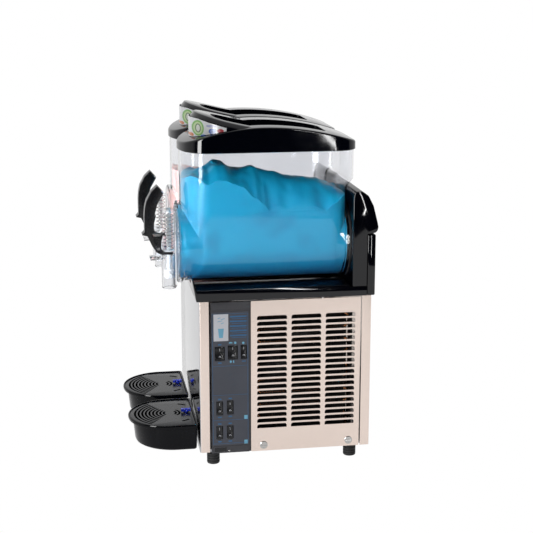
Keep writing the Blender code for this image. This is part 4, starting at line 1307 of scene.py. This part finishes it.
def make_label(side, x):
    """Printed strip that wraps the visor's curved front."""
    outer = visor_outline(x, -0.0010)
    inner = visor_outline(x, -0.0004)
    rings = []
    for i in range(-LABEL_REACH, LABEL_REACH + 1):
        front = outer[i % len(outer)]
        back = inner[i % len(inner)]
        low = lid_arch(front[1]) + 0.0010
        high = visor_shoulder(front[1]) - 0.0010
        rings.append([(*front, low), (*front, high), (*back, high), (*back, low)])
    label = smooth(loft(f"{side}_label_film", rings, label_film()))
    place(label, f"{side}_lid_body", "label_white", f"{side}_lid_label")


# ---- taps

def pin_hole(x):
    """Tool for the hole that the handle's pin goes through."""
    return rod("pin_hole", "X", (0, PIVOT_Y, PIVOT_Z), 0.0034, x - 0.03, x + 0.03, None, 24)


def make_tap_body(side, x):
    """Clear spout with a spine up to the spring's stop and two ears for the handle's pin."""
    profile = [(0.0152, 0.3770), (0.0152, 0.4480), (TAP_BORE, 0.4480), (TAP_BORE, 0.3760),
               (0.0142, 0.3760)]
    body = turned(f"{side}_clear_tap", profile, "Z", (x, TAP_Y, 0), clear_plastic(), 64)
    spine = box("spine", (x - 0.0100, -0.1560, 0.3800), (x + 0.0100, FRONT_DISC_Y - GAP, 0.5430),
                None, 0.001)
    stop = box("spring_stop", (x - 0.0120, -0.1800, SPRING_HIGH_Z + GAP), (x + 0.0120, -0.1530, 0.5430))
    ear = rounded_rectangle(-0.1850, 0.4555, 0.0300, 0.0310, 0.007, 5)
    ears = [prism("ear", ear, "X", x + near, x + near + 0.0035) for near in (-0.0180, 0.0145)]
    shelf = box("shelf", (x - 0.0180, -0.2080, 0.4400), (x + 0.0180, -0.1640, 0.4440), None, 0.0012)
    bore = rod("bore", "Z", (x, TAP_Y, 0), TAP_BORE, 0.37, 0.46, None, 64)
    stem_hole = rod("stem_hole", "Z", (x, TAP_Y, 0), 0.0055, 0.53, 0.55, None, 24)
    fuse(body, shelf, spine, stop, *ears)
    cut(body, bore, stem_hole, pin_hole(x))
    place(smooth(body), f"{side}_bowl_body", "clear_plastic", f"{side}_tap_body")


def make_piston(side, x):
    """White plunger with two sealing rings in the spout and a collar that the fork lifts."""
    collar_z = SPRING_LOW_Z - GAP
    profile = [(0.0, 0.398), (0.0100, 0.398), (0.0108, 0.4000), (0.0108, 0.4040), (0.0100, 0.4050),
               (0.0100, 0.4080), (0.0108, 0.4090), (0.0108, 0.4140), (0.0050, 0.4180), (0.0050, 0.4560),
               (0.0114, 0.4560), (0.0118, 0.4565), (0.0118, collar_z - 0.0005), (0.0114, collar_z),
               (0.0050, collar_z), (0.0050, 0.5470), (0.0040, 0.5485), (0.0, 0.5490)]
    piston = turned(f"{side}_white_piston", profile, "Z", (x, TAP_Y, 0), white_plastic())
    place(piston, f"{side}_piston_body", "piston_white", f"{side}_tap_piston")


def make_spring(side, x):
    """Spring between the piston's collar and the stop."""
    wire = 0.0009
    coil = 0.0098
    per_turn = 24
    total = SPRING_TURNS * per_turn
    low = SPRING_LOW_Z + wire + 0.0002
    high = SPRING_HIGH_Z - wire - 0.0002
    rings = []
    for i in range(total + 1):
        angle = 2 * math.pi * i / per_turn
        out = Vector((math.cos(angle), math.sin(angle), 0))
        centre = Vector((x, TAP_Y, low + (high - low) * i / total)) + out * coil
        ring = []
        for k in range(8):
            turn = math.pi * k / 4
            ring.append(centre + out * wire * math.cos(turn) + Vector((0, 0, wire * math.sin(turn))))
        rings.append(ring)
    spring = smooth(loft(f"{side}_spring_wire", rings, bright_steel()), 60)
    place(spring, f"{side}_bowl_body", "spring_steel", f"{side}_tap_spring")
    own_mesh(spring)


def make_handle(side, x):
    """Curved grip with a forked arm that straddles the piston under its collar, and a painted highlight near
    its tip.
    """
    grip = [
        (-0.1905, 0.5975), (-0.2035, 0.5850), (-0.2137, 0.5662), (-0.2175, 0.5500), (-0.2187, 0.5344),
        (-0.2187, 0.5002), (-0.2247, 0.4940), (-0.2132, 0.4914), (-0.2032, 0.4695), (-0.1970, 0.4600),
        (-0.1880, 0.4590), (-0.1850, 0.4660), (-0.1840, 0.4797), (-0.1794, 0.4967), (-0.1870, 0.4900),
        (-0.2000, 0.4900), (-0.2026, 0.4954), (-0.1995, 0.5200), (-0.1976, 0.5338), (-0.1908, 0.5591),
        (-0.1774, 0.5828),
    ]
    half = 0.0135
    handle = prism(f"{side}_grip", rounded_outline(grip, 0.0012, 2), "X", x - half, x + half,
                   satin_black())
    bevelled(handle, 0.0010, 3, 50)
    arm = [(-0.1960, 0.4700), (-0.1960, 0.4570), (-0.1860, 0.4510), (-0.1600, 0.4500), (-0.1600, 0.4550),
           (-0.1812, 0.4556), (-0.1862, 0.4700)]
    arm_solid = prism("arm", arm, "X", x - 0.0125, x + 0.0125)
    slot = box("arm_slot", (x - 0.0070, -0.1796, 0.4400), (x + 0.0070, -0.1500, 0.4900))
    fuse(handle, arm_solid)
    cut(handle, slot, pin_hole(x))
    # Painted highlight: a thin white strip on the grip's tip stands in for the light it catches there.
    painted_highlight = prism("painted_highlight", [(-0.1830, 0.5880), (-0.1815, 0.5868), (-0.1790, 0.5835), (-0.1805, 0.5840)],
                   "X", x + 0.0130, x + 0.0137, white_print_and_highlight())
    join(smooth(handle), painted_highlight)
    place(handle, f"{side}_handle_body", "handle_black", f"{side}_tap_handle")


# ---- drip trays

def tray_outline(x_mid, radius, rear, centre_y=TRAY_CENTRE_Y, detail=24):
    """D shape: a half circle in front, straight sides and a flat back."""
    half = [(0.0, centre_y - radius)]
    for i in range(1, detail + 1):
        angle = math.pi / 2 * i / detail
        half.append((radius * math.sin(angle), centre_y - radius * math.cos(angle)))
    corner = 0.006
    for degrees in range(0, 91, 18):
        angle = math.radians(degrees)
        half.append((radius - corner + corner * math.cos(angle), rear - corner + corner * math.sin(angle)))
    return full_outline(x_mid, half)


def tray_ring(x_mid, inset, z, wall=0.0):
    """Ring of the tray, drawn in by inset at the sides and by twice that in front."""
    rear = TRAY_REAR_Y - wall - inset * 0.3
    outline = tray_outline(x_mid, TRAY_RADIUS - inset, rear, TRAY_CENTRE_Y + inset - wall)
    return [(a, b, z) for a, b in outline]


def make_tray(side, x):
    """Deep glossy tray with a rounded bottom, an overhanging rim and a step for the grid."""
    floor = TRAY_BOTTOM_Z
    outer = [(0.0140, floor), (0.0112, floor + 0.0004), (0.0093, floor + 0.0015), (0.0080, floor + 0.0032),
             (0.0070, floor + 0.0080), (0.0050, TRAY_RIM_Z - 0.0010), (0.0045, TRAY_RIM_Z),
             (0.0018, TRAY_RIM_Z + 0.0004), (0.0005, TRAY_RIM_Z + 0.0014), (0.0, TRAY_RIM_Z + 0.0035),
             (0.0, TRAY_TOP_Z - 0.0022), (0.0005, TRAY_TOP_Z - 0.0007), (0.0016, TRAY_TOP_Z)]
    inner = [(0.0170, floor + 0.0030), (0.0110, floor + 0.0060), (0.0100, floor + 0.0110),
             (0.0075, GRID_BOTTOM_Z - 0.0009), (0.0030, GRID_BOTTOM_Z - 0.0004), (0.0030, 0.110)]
    tray = capped_loft(f"{side}_tray_shell", [tray_ring(x, inset, z) for inset, z in outer], tray_black())
    hollow = capped_loft("tray_hollow", [tray_ring(x, inset, z, TRAY_WALL) for inset, z in inner])
    cut(tray, hollow)
    place(smooth(tray), f"{side}_tray_body", "tray_black", f"{side}_drip_tray")


def arc_slot(centre, inner, outer, start, end):
    """A block in the shape of a ring segment, for cutting a curved slot."""
    steps = 20
    outline = []
    for radius, order in ((outer, range(steps + 1)), (inner, range(steps, -1, -1))):
        for i in order:
            angle = math.radians(start + (end - start) * i / steps)
            outline.append((centre[0] + radius * math.cos(angle), centre[1] + radius * math.sin(angle)))
    return prism("arc_slot", outline, "Z", 0.08, 0.10)


def grid_slots(centre):
    """Rings of slots in the front and rear sectors, and two short ones near the rear corners."""
    slots = []
    for ring in range(GRID_RINGS):
        inner = GRID_FIRST_RADIUS + GRID_PITCH * ring
        outer = inner + GRID_SLOT
        margin = GRID_PLAIN_HALF + math.degrees(0.0025 / inner)
        if outer < TRAY_RADIUS - 0.0075:
            slots.append(arc_slot(centre, inner, outer, 180 + margin, 360 - margin))
        if outer < FLOAT_Y - 0.0090 - centre[1]:
            slots.append(arc_slot(centre, inner, outer, margin, 180 - margin))
    for start in (22, 140):
        slots.append(arc_slot(centre, 0.0560, 0.0620, start, start + 18))
    return slots


def make_grid(side, x):
    """Plate in four sectors: ring-shaped slots in front and behind, plain at the sides."""
    outline = tray_outline(x, TRAY_RADIUS - 0.0036, TRAY_REAR_Y - 0.0046)
    grid = prism(f"{side}_grid_plate", outline, "Z", GRID_BOTTOM_Z, GRID_TOP_Z, grid_black())
    bevelled(grid, 0.0006, 2)
    centre = (x, TRAY_CENTRE_Y + 0.002)
    float_hole = rod("float_hole", "Z", (x, FLOAT_Y, 0), 0.0065, 0.08, 0.10, None, 32)
    cut(grid, join(*grid_slots(centre)), float_hole)
    place(smooth(grid), f"{side}_grid_body", "grid_black", f"{side}_drip_grid")


def make_float(side, x):
    """Blue level marker with a bow-shaped top. It stands through the grid and rises."""
    profile = [(0.0, 0.0560), (0.0063, 0.0560), (0.0068, 0.0565), (0.0068, 0.0635), (0.0035, 0.0660),
               (0.0035, 0.0945), (0.0050, 0.0985), (0.0045, 0.1010), (0.0025, 0.1025), (0.0, 0.1030)]
    marker = turned(f"{side}_level_marker", profile, "Z", (x, FLOAT_Y, 0), float_blue(), 32)
    wing = [(x - 0.0050, FLOAT_Y - 0.0110), (x + 0.0050, FLOAT_Y - 0.0110), (x + 0.0015, FLOAT_Y),
            (x + 0.0055, FLOAT_Y + 0.0095), (x - 0.0055, FLOAT_Y + 0.0095), (x - 0.0015, FLOAT_Y)]
    wings = prism("wings", wing, "Z", 0.0965, 0.1020)
    fuse(marker, wings)
    bevelled(marker, 0.0004, 2, 50)
    place(marker, f"{side}_float_body", "float_blue", f"{side}_tray_float")


# ---- CAD nodes that stay

def dress(look, *nodes):
    """Give CAD nodes a finished material and softened edges."""
    for name in nodes:
        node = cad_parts[name]
        for material_slot in node.material_slots:
            material_slot.material = look
        rounding = node.modifiers.new("edges", "BEVEL")
        rounding.width = 0.0004
        rounding.segments = 2
        rounding.limit_method = "ANGLE"
        rounding.angle_limit = math.radians(50)


def dress_inner_parts():
    dress(galvanised(), "base_pan")
    dress(grey_enamel(), "electrics_box", "fan_motor", "right_gearmotor", "left_gearmotor")
    dress(satin_black(), "compressor", "fan_shroud")
    dress(fin_aluminium(), "fan_blade")
    dress(bright_steel(), "right_freezing_drum", "left_freezing_drum", "right_handle_pin", "left_handle_pin")
    dress(white_plastic(), "right_auger", "left_auger")
    dress(rubber(), "right_bowl_gasket", "left_bowl_gasket")


# ---- studio

CAMERA_PLACE = (2.702, -0.3825, 1.038)
CAMERA_YAW = math.radians(9.26)
CAMERA_PITCH = math.radians(13.32)
CAMERA_LENS = 85.1


def make_camera():
    data = bpy.data.cameras.new("camera")
    data.sensor_width = 36.0
    data.lens = CAMERA_LENS
    data.clip_start = 0.01
    data.clip_end = 100.0
    camera = bpy.data.objects.new("camera", data)
    bpy.context.collection.objects.link(camera)
    camera.location = CAMERA_PLACE
    level = math.cos(CAMERA_PITCH)
    forward = Vector((-math.cos(CAMERA_YAW) * level, math.sin(CAMERA_YAW) * level, -math.sin(CAMERA_PITCH)))
    camera.rotation_euler = forward.to_track_quat("-Z", "Y").to_euler()
    bpy.context.scene.camera = camera


def multiply(tree, first, second):
    node = tree.nodes.new("ShaderNodeMath")
    node.operation = "MULTIPLY"
    tree.links.new(first, node.inputs[0])
    tree.links.new(second, node.inputs[1])
    return node.outputs[0]


ROOM_WHITE = 0.85
ROOM_DARK = 0.004


def make_world():
    """White to the camera. Everything else sees a white room with a dark zone towards +X."""
    world = bpy.data.worlds.new("studio")
    bpy.context.scene.world = world
    world.use_nodes = True
    tree = world.node_tree
    tree.nodes.clear()
    direction = tree.nodes.new("ShaderNodeTexCoord").outputs["Generated"]
    split = tree.nodes.new("ShaderNodeSeparateXYZ")
    tree.links.new(direction, split.inputs[0])
    towards_x = remap(tree, split.outputs["X"], 0.10, 0.35, 0.0, 1.0)
    low_down = remap(tree, split.outputs["Z"], 0.96, 0.88, 0.0, 1.0)
    dark = multiply(tree, towards_x, low_down)
    room = tree.nodes.new("ShaderNodeBackground")
    tree.links.new(remap(tree, dark, 0.0, 1.0, ROOM_WHITE, ROOM_DARK), room.inputs["Strength"])
    seen = tree.nodes.new("ShaderNodeBackground")
    for node in (room, seen):
        node.inputs["Color"].default_value = (1.0, 1.0, 1.0, 1.0)
    ray = tree.nodes.new("ShaderNodeLightPath")
    choose = tree.nodes.new("ShaderNodeMixShader")
    output = tree.nodes.new("ShaderNodeOutputWorld")
    tree.links.new(ray.outputs["Is Camera Ray"], choose.inputs[0])
    tree.links.new(room.outputs[0], choose.inputs[1])
    tree.links.new(seen.outputs[0], choose.inputs[2])
    tree.links.new(choose.outputs[0], output.inputs["Surface"])


# Area lights: name, azimuth from +X towards +Y in degrees, height, width, tallness, power, and
# whether the light is for shiny reflections or for matt faces.
LIGHTS = [
    ("front_highlight", -50, 1.00, 0.62, 1.70, 80, "shiny"),
    ("rear_highlight", 16.4, 1.00, 0.035, 1.70, 7, "shiny"),
    ("front_fill", -35, 1.30, 1.60, 1.60, 8, "matt"),
    ("rear_fill", 40, 1.30, 1.60, 1.60, 8, "matt"),
]
LIGHT_DISTANCE = 2.3


def make_lights():
    """Upright panels. The shiny pair only shows as reflections, the matt pair only as light."""
    for name, azimuth, height, width, tallness, power, lit in LIGHTS:
        data = bpy.data.lights.new(name, "AREA")
        data.shape = "RECTANGLE"
        data.size = width
        data.size_y = tallness
        data.energy = power
        angle = math.radians(azimuth)
        light = bpy.data.objects.new(name, data)
        bpy.context.collection.objects.link(light)
        outward = Vector((math.cos(angle), math.sin(angle), 0.0))
        light.location = outward * LIGHT_DISTANCE + Vector((0, 0, height))
        light.rotation_euler = (-outward).to_track_quat("-Z", "Y").to_euler()
        light.visible_glossy = lit == "shiny"
        light.visible_diffuse = lit == "matt"


FLOOR_RADIUS = 2.05


def make_floor():
    """A round white floor that glows a little, so that it stays white where it is seen reflected."""
    look = surface("studio_floor", (0.35, 0.35, 0.35), 0.9, grain=40.0, colour_spread=0.01, bump=0.0,
                   values={"Emission Color": (1.0, 1.0, 1.0, 1.0), "Emission Strength": 0.58})
    bm = bmesh.new()
    rim = []
    for i in range(96):
        angle = 2 * math.pi * i / 96
        rim.append(bm.verts.new((FLOOR_RADIUS * math.cos(angle), FLOOR_RADIUS * math.sin(angle), 0.0)))
    bm.faces.new(rim)
    floor = mesh_object("floor", bm, look)
    floor.visible_camera = False


# ---- assembly

def make_machine():
    make_front_and_rear_panels()
    make_grille_panel("right", GRILLE_FRONT_Y)
    make_grille_panel("left", FRONT_Y + RETURN_DEPTH + PANEL_MARGIN)
    make_panel_screws()
    make_feet()
    make_power_inlet()
    make_condenser()
    make_fascia()
    make_membrane()
    make_prints()
    make_rockers()
    make_deck()
    make_tower()
    make_rear_cover()
    dress_inner_parts()


def make_bowl_sets():
    # Each drink's third colour is painted shade for the bottom of the slush.
    drinks = {
        "right": slush_ice("slush_blue", (0.004, 0.25, 0.43), (0.003, 0.16, 0.31), (0.002, 0.065, 0.20)),
        "left": slush_ice("slush_pink", (0.88, 0.60, 0.58), (0.80, 0.50, 0.48), (0.62, 0.30, 0.30)),
    }
    for side, x in SIDES.items():
        make_bowl(side, x)
        make_slush(side, x, drinks[side])
        make_lid(side, x)
        make_label(side, x)
        make_tap_body(side, x)
        make_piston(side, x)
        make_spring(side, x)
        make_handle(side, x)
        make_tray(side, x)
        make_grid(side, x)
        make_float(side, x)


bpy.context.scene.view_settings.view_transform = "Standard"
make_camera()
make_world()
make_lights()
make_floor()
make_machine()
make_bowl_sets()
